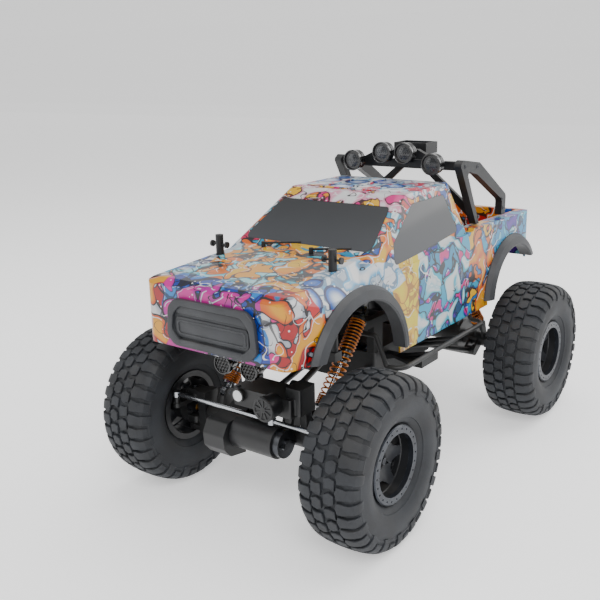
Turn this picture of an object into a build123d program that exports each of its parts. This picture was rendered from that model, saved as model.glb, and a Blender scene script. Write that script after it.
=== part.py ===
"""A 1:10 class radio controlled rock crawler: solid axles on four-link suspension, coil-over
shocks, a tub chassis and a pickup truck body.

Millimetres. +Z is up, the front of the truck looks along -Y and its left side is +X.
The origin is on the ground, under the middle of the wheelbase.
The front running gear is drawn first. The rear is the same shape turned half a turn about Z.
"""
from build123d import *
import math
import os

os.makedirs("parts", exist_ok=True)

# ---------------------------------------------------------------- clearances
GAP = 0.15               # between pieces that are fixed together
RUN = 0.08               # radial running clearance of pins and shafts
EYE_RUN = 0.4            # radial clearance of the shock's lower eye, which floats on its pin
CLEAR = 0.8              # between gears and their case

# ---------------------------------------------------------------- wheels and axles
WHEELBASE = 292.0
TRACK = 200.0            # between the wheel centres
TYRE_R = 66.0
TYRE_W = 50.0
TYRE_WALL = 3.0
RIM_R = 27.0             # barrel, where the tyre's bead sits
RIM_W = 36.0
RIM_WALL = 2.2
FLANGE_R = 29.7          # inner flange and outer bead ring
FLANGE_T = 2.6
RING_R = 23.6            # bore of the bead ring
BEAD_SCREWS = 24
SPOKES = 6
DISC_X = 2.0             # outer face of the rim's centre, from the wheel's middle plane
DISC_T = 3.5
HUB_R = 9.0
HUB_DEPTH = 8.0          # how far the rim's hub reaches inboard
HEX_AF = 12.0
HEX_T = 5.0
AXLE_R = 2.5
AXLE_TIP = 9.0
NUT_AF = 7.0
NUT_T = 4.5
KINGPIN_X = 76.0
KNUCKLE_R = 13.0
KNUCKLE_T = 9.5
KNUCKLE_REACH = 5.5      # kingpin to the knuckle's inner face
BEARING_R = 5.5
BEARING_T = 3.6
YOKE_H = 14.0            # axle centre to the inner faces of the yoke's arms
YOKE_T = 4.0
YOKE_X = 58.0
CUP_R = 5.0
BALL_R = 3.5
STEER_ARM = 22.0         # kingpin to ball stud
ARM_Z = 7.5              # underside of the steering arm above the axle centre
ARM_T = 3.5
TIE_HEIGHT = 19.0        # tie rod above the axle centre
TIE_R = 1.8
SOCKET_R = 3.4
TUBE_R = 7.0
TUBE_END = 60.0
SHAFT_R = 2.5
REAR_TUBE_R = 10.0
REAR_TUBE_END = 91.0
PIN_R = 1.5

# ---------------------------------------------------------------- drive
GEAR_MODULE = 0.8
GEAR_TEETH = 36
PINION_TEETH = 12
GEAR_W = 6.0
GEAR_X = -19.0
PINION_ANGLE = 175.0     # from +Y towards +Z: the pinion sits ahead of the axle
CASE_WALL = 2.4
CASE_SIDE = 5.0          # room beside the gear
MOTOR_R = 11.0
MOTOR_L = 46.0
MOTOR_SHAFT_R = 1.15
CRADLE_WALL = 1.8
GUARD_X = (-33.0, -12.0)
GUARD_T = 2.4
GEARBOX_X = (-12.0, 44.0)
GEARBOX_Y = (-170.0, -143.0)
GEARBOX_Z = (91.4, 106.0)
GEARBOX_HUMP = (36.0, 50.0, -166.0, -147.0, 114.0)
CAP_PLACE = (28.5, 100.5)
CAP_R = 9.7
CAP_FRONT = -183.0
SERVO_X = 24.0
SERVO_SHAFT_R = 2.0

# ---------------------------------------------------------------- links and shocks
LINK_R = 2.6
EYE_R = 4.6
EYE_T = 6.0
EAR_T = 2.5
LOWER_PIVOT = (30.0, -52.0, 84.0)      # chassis end of a lower link
LOWER_AXLE_PIN = (42.0, -132.0, 57.0)  # axle end of a lower link
UPPER_PIVOT = (22.0, -52.0, 127.0)     # chassis end of an upper link
SHOCK_X = 47.0
SHOCK_TOP = (-78.0, 152.0)             # y and z of the upper eye
SHOCK_FOOT = (-140.0, 84.0)            # y and z of the lower eye
SHOCK_EYE_R = 4.2
SHOCK_EYE_T = 5.0
SHOCK_EAR_T = 2.2
SHOCK_BODY_R = 4.2
SHOCK_BODY = (6.0, 45.0)               # along the shock, from the upper eye
SHOCK_BORE_TOP = 20.0
SHOCK_ROD_R = 1.6
SHOCK_ROD_TOP = 30.0
COLLAR_R = 6.9
COLLAR_T = 2.0
COLLAR_TOP = 7.0
COLLAR_FOOT = 84.0
SPRING_R = 6.1
SPRING_WIRE_R = 0.6
SPRING_TURNS = 17

# ---------------------------------------------------------------- chassis
TUB_HALF_W = 37.0
TUB_HALF_L = 44.0
TUB_Z = (76.0, 104.0)
TUB_WALL = 2.2
COVER_T = 2.0
RAIL_X = (29.5, 36.5)
RAIL_Z = (128.0, 135.0)
RAIL_END = 155.0
TOWER_X = 39.9           # outer face of a shock tower
POST = (55.0, -129.5)
REAR_POST = (44.0, 118.0)
POST_R = 3.2
POST_TOP = 213.0
POST_COLLAR_R = 4.5
FOG_PLACE = (13.0, -176.0, 126.5)
FOG_R = 8.3
FOG_L = 12.0
SLIDER_X = 80.0
SLIDER_Z = 107.0
SLIDER_R = 2.1
SLIDER_Y = (-72.0, 80.0)
SLIDER_STRUTS = (-25.0, 10.0, 25.0)

# ---------------------------------------------------------------- body
BODY_WALL = 1.6
BODY_FRONT = -201.0
BODY_REAR = 197.0
ROCKER_Z = 118.0
NOSE_Z = 142.0
TAIL_Z = 147.0
HOOD_FRONT = (-193.0, 192.0)
COWL = (-95.0, 200.0)
HOOD_BEVEL = ((52.0, 205.6), (74.1, 182.0))
BELT_FRONT_Z = 184.0
RAIL_TOP_Z = 197.0
CAB_Z = (183.0, 239.0)
CAB_FOOT = (-124.0, 63.0, 73.9)        # front y, rear y and half width at the foot of the cab
CAB_ROOF = (-33.0, 48.0, 57.0)         # the same at the roof
BODY_HALF_W = 74.0
NOSE_HALF_W = 66.0
FRONT_ARCH = (-123.0, 118.0, 59.0)     # y, z and radius
REAR_ARCH = (147.0, 120.0, 49.0)
FLARE_W = 9.0
FLARE_OUT = 7.0
FLARE_LIP = 2.0
FRONT_FLARE_ENDS = (144.0, 124.0)      # lowest z ahead of and behind the wheel
REAR_FLARE_ENDS = (124.0, 150.0)
BED = (72.0, 190.0, 60.0)              # front y, rear y and half width of the bed
BED_FLOOR_Z = 166.0
GRILLE_HALF_W = 43.0
GRILLE_Z = (145.0, 181.0)
GRILLE_T = 3.0
PANE_GAP = 0.15
WIPER_X = (-34.0, 14.0)
WIPER_L = 34.0

# ---------------------------------------------------------------- roll bar and lights
BAR_X = (59.5, 66.5)
BAR_W = 8.5
BAR_FRONT_TOP = (54.0, 254.0)          # y and z
BAR_REAR_TOP = (86.0, 250.0)
BAR_KNEE = (144.0, 214.0)
BAR_FRONT_FOOT_Y = 88.0
BAR_REAR_FOOT_Y = 143.0
POD_PLACES = ((41.0, 52.0, 254.5), (11.5, 55.0, 262.5))
POD_R = 9.6
POD_L = 11.0
ROOF_BOX = (17.0, 78.0, 100.0, 258.5, 269.0)

# ---------------------------------------------------------------- worked out
AXLE_Y = -WHEELBASE / 2
AXLE_Z = TYRE_R
WHEEL_X = TRACK / 2
TIE_Z = AXLE_Z + TIE_HEIGHT
TIE_Y = AXLE_Y - STEER_ARM
PINION_TURN = math.radians(PINION_ANGLE)
GEAR_CENTRES = GEAR_MODULE * (GEAR_TEETH + PINION_TEETH) / 2
PINION_Y = AXLE_Y + GEAR_CENTRES * math.cos(PINION_TURN)
PINION_Z = AXLE_Z + GEAR_CENTRES * math.sin(PINION_TURN)
GEAR_TIP_R = GEAR_MODULE * (GEAR_TEETH / 2 + 0.85)
PINION_TIP_R = GEAR_MODULE * (PINION_TEETH / 2 + 0.85)
CASE_R = GEAR_TIP_R + CLEAR + CASE_WALL
BOSS_R = PINION_TIP_R + CLEAR + CASE_WALL
CASE_X0 = GEAR_X - GEAR_W / 2 - CASE_SIDE
CASE_X1 = GEAR_X + GEAR_W / 2 + CASE_SIDE
LINK_DY = LOWER_AXLE_PIN[1] - LOWER_PIVOT[1]
LINK_DZ = LOWER_AXLE_PIN[2] - LOWER_PIVOT[2]
UPPER_AXLE_PIN = (UPPER_PIVOT[0], UPPER_PIVOT[1] + LINK_DY, UPPER_PIVOT[2] + LINK_DZ)
SHOCK_DY = SHOCK_FOOT[0] - SHOCK_TOP[0]
SHOCK_DZ = SHOCK_FOOT[1] - SHOCK_TOP[1]
SHOCK_L = math.hypot(SHOCK_DY, SHOCK_DZ)


# ---------------------------------------------------------------- helpers
def block(x0, x1, y0, y1, z0, z1):
    """A box between two corners, given in any order."""
    return Pos((x0 + x1) / 2, (y0 + y1) / 2, (z0 + z1) / 2) * Box(abs(x1 - x0), abs(y1 - y0), abs(z1 - z0))


def rod(start, end, radius):
    """A round bar from one point to another."""
    a, b = Vector(*start), Vector(*end)
    return extrude(Plane(origin=a, z_dir=(b - a).normalized()) * Circle(radius), (b - a).length)


def x_rod(x0, x1, y, z, radius):
    return rod((x0, y, z), (x1, y, z), radius)


def y_rod(x, y0, y1, z, radius):
    return rod((x, y0, z), (x, y1, z), radius)


def z_rod(x, y, z0, z1, radius):
    return rod((x, y, z0), (x, y, z1), radius)


def x_ring(x0, x1, y, z, outer, inner):
    return x_rod(x0, x1, y, z, outer) - x_rod(x0 - 1, x1 + 1, y, z, inner)


def hexagon(across_flats, x0, x1):
    """A hexagonal bar along X through the origin."""
    return extrude(Plane.YZ.offset(x0) * RegularPolygon(across_flats / 2, 6, major_radius=False), x1 - x0)


def bent_bar(points, radii, radius):
    """A round bar along straight runs joined by tangent arcs."""
    start = Vector(*points[0])
    heading = (Vector(*points[1]) - start).normalized()
    return sweep(Plane(origin=start, z_dir=heading) * Circle(radius), path=FilletPolyline(*points, radius=radii))


def outline(corners, radii, shrink=0.0):
    """A flat face inside straight runs, with its corners rounded and its edge drawn in by shrink."""
    edge = FilletPolyline(*corners, radius=radii, close=True) if radii else Polyline(*corners, close=True)
    face = make_face(edge)
    return offset(face, amount=-shrink).faces()[0] if shrink else face


def side_prism(points, x0, x1, radii=None, shrink=0.0):
    """A profile given as (y, z) points, drawn out along X."""
    return extrude(outline([(x0, y, z) for y, z in points], radii, shrink), x1 - x0, dir=(1, 0, 0))


def front_prism(points, y0, y1, radii=None, shrink=0.0):
    """A profile given as (x, z) points, drawn out along Y."""
    return extrude(outline([(x, y0, z) for x, z in points], radii, shrink), y1 - y0, dir=(0, 1, 0))


def plan_prism(points, z0, z1, radii=None):
    """A profile given as (x, y) points, drawn up along Z."""
    return extrude(outline([(x, y, z0) for x, y in points], radii), z1 - z0, dir=(0, 0, 1))


def spun(points):
    """A profile given as (x, radius) points, spun about the X axis."""
    return revolve(make_face(Polyline(*[(x, r, 0) for x, r in points], close=True)), Axis.X)


def to_rear(shape):
    """The same piece at the other end of the truck."""
    return Rot(0, 0, 180) * shape


def mirrored(shape):
    """The same piece on the other side of the truck."""
    return mirror(shape, about=Plane.YZ)


def pair(shape):
    """The piece and its twin on the other side."""
    return [shape, mirrored(shape)]


def joined(shapes):
    whole = shapes[0]
    for shape in shapes[1:]:
        whole += shape
    return whole


def save(name, *shapes):
    """Writes one node: a single solid, or several kept as separate solids."""
    pieces = []
    for shape in shapes:
        for item in (shape if isinstance(shape, (list, tuple)) else [shape]):
            pieces.extend(item.solids())
    export_step(pieces[0] if len(pieces) == 1 else Compound(children=pieces), f"parts/{name}.step")


# ---------------------------------------------------------------- wheels
def tyre():
    """A hollow tyre on the origin with its axle along X."""
    half = TYRE_W / 2
    bead_x = RIM_W / 2 - FLANGE_T - GAP
    bead_r = RIM_R + GAP
    neck_r = FLANGE_R + GAP
    wide_r = (TYRE_R + RIM_R) / 2
    profile = []
    for wall, shoulder in ((0.0, 5.0), (TYRE_WALL, 5.0 + TYRE_WALL)):
        side = half - wall
        profile.append([
            Line((bead_x - wall, bead_r, 0), (bead_x - wall, neck_r, 0)),
            Spline((bead_x - wall, neck_r, 0), (side, wide_r, 0), tangents=[(0.75, 1, 0), (0, 1, 0)]),
            Spline((side, wide_r, 0), (half - shoulder, TYRE_R - wall - 1.0, 0), tangents=[(0, 1, 0), (-1, 0.35, 0)]),
            Line((half - shoulder, TYRE_R - wall - 1.0, 0), (0, TYRE_R - wall, 0)),
        ])
    outside, inside = profile
    foot = Line(outside[0] @ 0, inside[0] @ 0)
    middle = Line(outside[3] @ 1, inside[3] @ 1)
    half_tyre = revolve(make_face([*outside, middle, *inside, foot]), Axis.X)
    return half_tyre + mirror(half_tyre, about=Plane.YZ)


def rim():
    """The rim: barrel, inner flange, and a dished spoked centre with a hub for the drive hex."""
    x_in, x_out = -RIM_W / 2, RIM_W / 2 - FLANGE_T
    shape = spun([
        (x_in, RIM_R - RIM_WALL), (x_in, FLANGE_R), (x_in + FLANGE_T, FLANGE_R), (x_in + FLANGE_T, RIM_R),
        (x_out, RIM_R), (x_out, RIM_R - RIM_WALL),
    ])
    inside_r = RIM_R - RIM_WALL
    disc = x_rod(DISC_X - DISC_T, DISC_X, 0, 0, inside_r + RIM_WALL / 2)
    window_at = (HUB_R + inside_r) / 2
    for k in range(SPOKES):
        turn = Rot(360 / SPOKES * k, 0, 0)
        window = Pos(0, window_at, 0) * Rot(0, 90, 0) * Cylinder(5.6, 3 * DISC_T)
        hole = Rot(180 / SPOKES, 0, 0) * Pos(0, window_at + 2.0, 0) * Rot(0, 90, 0) * Cylinder(2.0, 3 * DISC_T)
        disc -= turn * window
        disc -= turn * hole
    shape += disc + x_rod(-HUB_DEPTH, DISC_X + 3.0, 0, 0, HUB_R)
    shape -= hexagon(HEX_AF + 2 * GAP, -HUB_DEPTH - 0.5, DISC_X - DISC_T)
    shape -= x_rod(-HUB_DEPTH - 1, DISC_X + 4, 0, 0, AXLE_R + GAP)
    shape -= x_rod(DISC_X, DISC_X + 4, 0, 0, 6.5)
    return shape


def bead_ring():
    """The ring that clamps the outer bead, with its circle of screw holes."""
    x0 = RIM_W / 2 - FLANGE_T + GAP
    x1 = RIM_W / 2 + 1.5
    ring = spun([(x0, RING_R), (x0, FLANGE_R), (x1 - 0.8, FLANGE_R), (x1, FLANGE_R - 0.9), (x1, RING_R)])
    screw_at = (RING_R + FLANGE_R) / 2
    for k in range(BEAD_SCREWS):
        ring -= Rot(360 / BEAD_SCREWS * k, 0, 0) * x_rod(x1 - 2.0, x1 + 1, screw_at, 0, 0.85)
    return ring


def hub_set(steered):
    """Stub axle, drive hex and wheel nut. The wheel's centre is the origin and +X is outboard."""
    kingpin = KINGPIN_X - WHEEL_X
    if steered:
        stub = x_rod(kingpin + BALL_R + 1.0, AXLE_TIP, 0, 0, AXLE_R)
        stub += x_rod(kingpin - BALL_R + 0.3, kingpin + 6.5, 0, 0, CUP_R)
        stub -= x_rod(kingpin - BALL_R, kingpin + BALL_R + 0.3, 0, 0, BALL_R + 0.7)
    else:
        stub = x_rod(kingpin - 6.0, AXLE_TIP, 0, 0, AXLE_R)
    hexes = hexagon(HEX_AF, DISC_X - DISC_T - HEX_T, DISC_X - DISC_T - GAP) - x_rod(-10, 0, 0, 0, AXLE_R + GAP / 2)
    x0 = DISC_X + GAP
    nut = hexagon(NUT_AF, x0, x0 + NUT_T) + x_rod(x0, x0 + 0.9, 0, 0, 5.2)
    return [stub, hexes, nut - x_rod(0, 10, 0, 0, AXLE_R + GAP / 2)]


def build_wheels():
    """Four wheels. Each is drawn facing +X and turned to its side."""
    the_tyre, the_rim, the_ring = tyre(), rim(), bead_ring()
    for end, y in (("front", AXLE_Y), ("rear", -AXLE_Y)):
        hub = hub_set(steered=end == "front")
        for side, place in (("left", Pos(WHEEL_X, y, AXLE_Z)), ("right", Pos(-WHEEL_X, y, AXLE_Z) * Rot(0, 0, 180))):
            save(f"tyre_{end}_{side}", place * the_tyre)
            save(f"rim_{end}_{side}", place * the_rim)
            save(f"bead_ring_{end}_{side}", place * the_ring)
            save(f"hub_{end}_{side}", [place * piece for piece in hub])


# ---------------------------------------------------------------- gears and motors
def gear(teeth, width, bore_r, phase_deg):
    """A spur gear along X from zero, with a tooth at the phase angle, measured from +Y towards +Z."""
    pitch_r = GEAR_MODULE * teeth / 2
    base_r = pitch_r * math.cos(math.radians(20))
    root_r, tip_r = pitch_r - 1.15 * GEAR_MODULE, pitch_r + 0.85 * GEAR_MODULE
    thick = 0.43 * math.pi / teeth   # a tooth with no backlash would be half of pi / teeth

    def involute(r):
        """The involute angle at a radius."""
        if r <= base_r:
            return 0.0
        roll = math.acos(base_r / r)
        return math.tan(roll) - roll

    flank = [(r, thick + involute(pitch_r) - involute(r)) for r in (root_r, base_r, pitch_r, tip_r) if r >= root_r]
    points = []
    for n in range(teeth):
        centre = math.radians(phase_deg) + 2 * math.pi * n / teeth
        for r, a in flank:
            points.append((0, r * math.cos(centre - a), r * math.sin(centre - a)))
        for r, a in reversed(flank):
            points.append((0, r * math.cos(centre + a), r * math.sin(centre + a)))
    solid = extrude(make_face(Polyline(*points, close=True)), width, dir=(1, 0, 0))
    return solid - x_rod(-1, width + 1, 0, 0, bore_r)


def drive_gear(steered):
    """The drive gear, its boss and the axle shaft. A steered shaft ends in drive balls."""
    x0 = GEAR_X - GEAR_W / 2
    toothed = Pos(x0, AXLE_Y, AXLE_Z) * gear(GEAR_TEETH, GEAR_W, SHAFT_R + GAP / 2, PINION_ANGLE)
    boss = x_ring(x0 - 3.0, x0 - 0.02, AXLE_Y, AXLE_Z, 5.0, SHAFT_R + GAP / 2)
    if not steered:
        half_l = KINGPIN_X - 6.5
        return [toothed, boss, x_rod(-half_l, half_l, AXLE_Y, AXLE_Z, SHAFT_R)]
    shaft = x_rod(-TUBE_END, TUBE_END, AXLE_Y, AXLE_Z, SHAFT_R)
    shaft += x_rod(-KINGPIN_X, KINGPIN_X, AXLE_Y, AXLE_Z, SHAFT_R - 0.5)
    for x in (-KINGPIN_X, KINGPIN_X):
        shaft += Pos(x, AXLE_Y, AXLE_Z) * Sphere(BALL_R)
    return [toothed, boss, shaft]


def pinion():
    """The motor's pinion on its shaft, in mesh with the drive gear."""
    x0 = GEAR_X - GEAR_W / 2 - 0.5
    phase = PINION_ANGLE + 180 + 180 / PINION_TEETH
    toothed = Pos(x0, PINION_Y, PINION_Z) * gear(PINION_TEETH, GEAR_W + 1.0, MOTOR_SHAFT_R, phase)
    return toothed + x_rod(x0 - 1.0, CASE_X1 + 5.0, PINION_Y, PINION_Z, MOTOR_SHAFT_R)


def drive_motor():
    """The brushed drive motor: can, end boss and two terminals."""
    end = CASE_X1 + MOTOR_L
    can = x_rod(CASE_X1, end, PINION_Y, PINION_Z, MOTOR_R) + x_rod(end, end + 2.0, PINION_Y, PINION_Z, 4.0)
    for y in (PINION_Y - 7.0, PINION_Y + 7.0):
        can += block(end, end + 4.0, y - 1.2, y + 1.2, PINION_Z - 0.4, PINION_Z + 0.4)
    return can - x_rod(CASE_X1 - 1, CASE_X1 + 6.0, PINION_Y, PINION_Z, MOTOR_SHAFT_R + RUN)


# ---------------------------------------------------------------- axle housings
def ears(x, y, z, gap, ear_t, radius, root):
    """A clevis of two ears across X around a pin. Each ear runs to the root point (y, z)."""
    dy, dz = root[0] - y, root[1] - z
    length = math.hypot(dy, dz)
    ny, nz = -dz / length * radius, dy / length * radius
    corners = [(y + ny, z + nz), (y - ny, z - nz), (root[0] - ny, root[1] - nz), (root[0] + ny, root[1] + nz)]
    pieces = []
    for side in (-1, 1):
        x0, x1 = sorted((x + side * gap / 2, x + side * (gap / 2 + ear_t)))
        pieces += [x_rod(x0, x1, y, z, radius), side_prism(corners, x0, x1)]
    return joined(pieces)


AXLE_PINS = (
    (LOWER_AXLE_PIN, EYE_T / 2 + EAR_T),
    (UPPER_AXLE_PIN, EYE_T / 2 + EAR_T),
    ((SHOCK_X, *SHOCK_FOOT), SHOCK_EYE_T / 2 + SHOCK_EAR_T),
)


def axle_housing(steered):
    """The axle housing: tube, gear case, motor cradle and the clevises of the links and shocks."""
    cradle_end = CASE_X1 + MOTOR_L - 6.0
    shape = x_rod(-TUBE_END, TUBE_END, AXLE_Y, AXLE_Z, TUBE_R)
    shape += x_rod(CASE_X0 - CASE_WALL, CASE_X1, AXLE_Y, AXLE_Z, CASE_R)
    shape += x_rod(CASE_X0 - CASE_WALL, CASE_X1, PINION_Y, PINION_Z, BOSS_R)
    shape += x_rod(CASE_X1, cradle_end, PINION_Y, PINION_Z, MOTOR_R + GAP + CRADLE_WALL)
    shape += block(CASE_X1, cradle_end, AXLE_Y, PINION_Y, AXLE_Z - 5.0, AXLE_Z + 5.0)
    tube_top = (AXLE_Y + 2.0, AXLE_Z + 2.0)
    for side in (-1, 1):
        shape += ears(side * LOWER_AXLE_PIN[0], *LOWER_AXLE_PIN[1:], EYE_T + 2 * GAP, EAR_T, EYE_R, (AXLE_Y, AXLE_Z))
        shape += ears(side * UPPER_AXLE_PIN[0], *UPPER_AXLE_PIN[1:], EYE_T + 2 * GAP, EAR_T, EYE_R, tube_top)
        shape += ears(side * SHOCK_X, *SHOCK_FOOT, SHOCK_EYE_T + 2 * GAP, SHOCK_EAR_T, SHOCK_EYE_R, (AXLE_Y, AXLE_Z))
    if steered:
        for x0, x1 in ((GEARBOX_X[0] + 2, GEARBOX_X[0] + 10), (GEARBOX_X[1] - 4, GEARBOX_X[1] + 2)):
            shape += block(x0, x1, AXLE_Y - 8.0, AXLE_Y - 1.0, AXLE_Z, GEARBOX_Z[0] - GAP)
        for side in (-1, 1):
            shape += yoke(side)
    else:
        for side in (-1, 1):
            shape += x_rod(*sorted((side * (TUBE_END - 2), side * REAR_TUBE_END)), AXLE_Y, AXLE_Z, REAR_TUBE_R)
    bore_end = YOKE_X + 9.0 if steered else REAR_TUBE_END + 1.0
    cuts = [
        x_rod(-bore_end, CASE_X0 - CASE_WALL - 1, AXLE_Y, AXLE_Z, BALL_R + 0.3),
        x_rod(CASE_X1 + 1, bore_end, AXLE_Y, AXLE_Z, BALL_R + 0.3),
        x_rod(CASE_X0 - CASE_WALL - 1, CASE_X1 + 1, AXLE_Y, AXLE_Z, SHAFT_R + RUN),
        x_rod(CASE_X0, CASE_X1 - CASE_WALL, AXLE_Y, AXLE_Z, GEAR_TIP_R + CLEAR),
        x_rod(CASE_X0, CASE_X1, PINION_Y, PINION_Z, PINION_TIP_R + CLEAR),
        x_rod(CASE_X1, cradle_end + 1, PINION_Y, PINION_Z, MOTOR_R + GAP),
    ]
    for (x, y, z), half in AXLE_PINS:
        for side in (-1, 1):
            cuts.append(x_rod(side * x - half - 1, side * x + half + 1, y, z, PIN_R + GAP / 2))
    if not steered:
        for side in (-1, 1):
            cuts.append(x_rod(*sorted((side * (REAR_TUBE_END - BEARING_T), side * (REAR_TUBE_END + 1))),
                              AXLE_Y, AXLE_Z, BEARING_R + GAP / 2))
    for cut in cuts:
        shape -= cut
    return shape


def yoke(side):
    """The fork at one end of the front axle that holds a knuckle by its two kingpins."""
    low, high = YOKE_H, YOKE_H + YOKE_T
    shape = block(side * YOKE_X, side * (YOKE_X + 8), AXLE_Y - 8, AXLE_Y + 8, AXLE_Z - high, AXLE_Z + high)
    for up in (-1, 1):
        z0, z1 = sorted((AXLE_Z + up * low, AXLE_Z + up * high))
        shape += block(side * (YOKE_X + 2), side * KINGPIN_X, AXLE_Y - 6, AXLE_Y + 6, z0, z1)
        shape += z_rod(side * KINGPIN_X, AXLE_Y, z0, z1, 6.0)
        shape -= z_rod(side * KINGPIN_X, AXLE_Y, z0 - 1, z1 + 1, PIN_R + GAP / 2)
    return shape


def axle_pins():
    """The pins through the axle's clevises."""
    pins = []
    for (x, y, z), half in AXLE_PINS:
        pins += pair(x_rod(x - half, x + half, y, z, PIN_R))
    return pins


def kingpins():
    """Four headed screws that hinge the knuckles in the yokes."""
    screws = []
    for x in (-KINGPIN_X, KINGPIN_X):
        for up in (-1, 1):
            tip, face = AXLE_Z + up * (YOKE_H - 4.0), AXLE_Z + up * (YOKE_H + YOKE_T)
            screw = z_rod(x, AXLE_Y, tip, face + up * 0.1, PIN_R)
            screws.append(screw + z_rod(x, AXLE_Y, face + up * 0.05, face + up * 1.8, 2.9))
    return screws


def diff_guard():
    """The ribbed guard over the front of the gear case."""
    x0, x1 = GUARD_X
    back = AXLE_Y - 12.0
    guard = side_prism([(back, 46), (-176, 49), (-183, 57), (-184, 68), (-178, 78), (back, 79)], x0, x1,
                       [0.5, 4, 4, 4, 4, 0.5])
    guard -= side_prism([(back + 1, 46 + GUARD_T), (-175, 49 + GUARD_T), (-183 + GUARD_T, 58),
                         (-184 + GUARD_T, 67), (-177, 78 - GUARD_T), (back + 1, 79 - GUARD_T)],
                        x0 + GUARD_T, x1 - GUARD_T, [0.3, 3, 3, 3, 3, 0.3])
    guard -= x_rod(x0 - 1, x1 + 1, AXLE_Y, AXLE_Z, CASE_R + GAP)
    return guard - x_rod(x0 - 1, x1 + 1, PINION_Y, PINION_Z, BOSS_R + GAP)


# ---------------------------------------------------------------- steering
def knuckle_parts():
    """The left knuckle and its two bearings: a carrier on kingpins, with a forward arm and a ball stud."""
    x0, x1 = KINGPIN_X + KNUCKLE_REACH, KINGPIN_X + KNUCKLE_REACH + KNUCKLE_T
    shape = x_rod(x0, x1, AXLE_Y, AXLE_Z, KNUCKLE_R)
    for up in (-1, 1):
        z0, z1 = sorted((AXLE_Z + up * ARM_Z, AXLE_Z + up * (YOKE_H - 0.4)))
        shape += block(KINGPIN_X, x0 + 2, AXLE_Y - 4.6, AXLE_Y + 4.6, z0, z1)
        shape += z_rod(KINGPIN_X, AXLE_Y, z0, z1, 4.6)
    arm_z0, arm_z1 = AXLE_Z + ARM_Z, AXLE_Z + ARM_Z + ARM_T
    shape += block(KINGPIN_X - 3, KINGPIN_X + 3, TIE_Y, AXLE_Y - 3, arm_z0, arm_z1)
    shape += z_rod(KINGPIN_X, TIE_Y, arm_z0, arm_z1, 3.0)
    shape += z_rod(KINGPIN_X, TIE_Y, arm_z1 - 1, TIE_Z - 2.4, 2.2)
    shape += z_rod(KINGPIN_X, TIE_Y, arm_z1 - 1, TIE_Z + 2.8, PIN_R)
    shape -= x_rod(x0 - 1, x1 + 1, AXLE_Y, AXLE_Z, BEARING_R + GAP / 2)
    for up in (-1, 1):
        shape -= z_rod(KINGPIN_X, AXLE_Y, AXLE_Z + up * (YOKE_H - 5.0), AXLE_Z + up * (YOKE_H + 1), PIN_R + RUN)
    bearings = [x_ring(a, a + BEARING_T, AXLE_Y, AXLE_Z, BEARING_R, AXLE_R + RUN)
                for a in (x0 + 1.5, x1 - BEARING_T)]
    return [shape, *bearings]


def rear_bearings():
    """The outer bearings at the ends of the rear axle."""
    a = REAR_TUBE_END - BEARING_T
    return pair(x_ring(a, REAR_TUBE_END, AXLE_Y, AXLE_Z, BEARING_R, AXLE_R + RUN))


def tie_rod():
    """The rod between the two knuckles, with a socket at each end and one for the servo's arm."""
    places = (-KINGPIN_X, SERVO_X, KINGPIN_X)
    shape = joined([x_rod(-KINGPIN_X, KINGPIN_X, TIE_Y, TIE_Z, TIE_R)]
                   + [z_rod(x, TIE_Y, TIE_Z - 2.2, TIE_Z + 2.2, SOCKET_R) for x in places])
    for x in places:
        shape -= z_rod(x, TIE_Y, TIE_Z - 4, TIE_Z + 4, PIN_R + RUN)
    return shape


def servo_arm():
    """The steering output arm: its shaft goes up into the gearbox, its pin down into the tie rod."""
    z0, z1 = TIE_Z + 2.8, TIE_Z + 5.4
    arm = z_rod(SERVO_X, AXLE_Y, z0, z1, 3.6) + z_rod(SERVO_X, TIE_Y, z0, z1, 3.0)
    arm += block(SERVO_X - 2.2, SERVO_X + 2.2, TIE_Y, AXLE_Y, z0, z1)
    arm += z_rod(SERVO_X, TIE_Y, TIE_Z - 2.0, z1, PIN_R)
    return arm + z_rod(SERVO_X, AXLE_Y, z0, z1 + 7.0, SERVO_SHAFT_R)


def steering_gearbox():
    """The steering motor's gearbox on top of the axle, with the motor's round cap facing forward."""
    shape = block(*GEARBOX_X, *GEARBOX_Y, *GEARBOX_Z)
    x0, x1, y0, y1, z1 = GEARBOX_HUMP
    shape += block(x0, x1, y0, y1, GEARBOX_Z[0] + 2, z1)
    vertical = [e for e in shape.edges().filter_by(Axis.Z) if e.length > 5]
    shape = fillet(vertical, 1.5)
    cap_x, cap_z = CAP_PLACE
    shape += y_rod(cap_x, GEARBOX_Y[0] + 1, CAP_FRONT + 3, cap_z, CAP_R - 1.2)
    shape += y_rod(cap_x, CAP_FRONT + 4, CAP_FRONT, cap_z, CAP_R)
    shape += y_rod(GEARBOX_X[0] + 7, GEARBOX_Y[0] + 1, GEARBOX_Y[0] - 3, cap_z, 5.5)
    return shape - z_rod(SERVO_X, AXLE_Y, GEARBOX_Z[0] - 1, TIE_Z + 13.0, SERVO_SHAFT_R + RUN)


# ---------------------------------------------------------------- links and shocks
def link(chassis_end, axle_end):
    """A left link: a round bar with an eye across X at each end."""
    shape = rod(chassis_end, axle_end, LINK_R)
    for x, y, z in (chassis_end, axle_end):
        shape += x_rod(x - EYE_T / 2, x + EYE_T / 2, y, z, EYE_R)
    for x, y, z in (chassis_end, axle_end):
        shape -= x_rod(x - EYE_T, x + EYE_T, y, z, PIN_R + RUN)
        shape -= block(x + EYE_T / 2, x + EYE_T, y - 8, y + 8, z - 8, z + 8)
        shape -= block(x - EYE_T, x - EYE_T / 2, y - 8, y + 8, z - 8, z + 8)
    return shape.solids().sort_by(SortBy.VOLUME)[-1]


def along_shock(distance):
    """The point of the left shock's axis at a distance below its upper eye."""
    share = distance / SHOCK_L
    return (SHOCK_X, SHOCK_TOP[0] + SHOCK_DY * share, SHOCK_TOP[1] + SHOCK_DZ * share)


def shock_tube(d0, d1, radius):
    return rod(along_shock(d0), along_shock(d1), radius)


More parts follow.
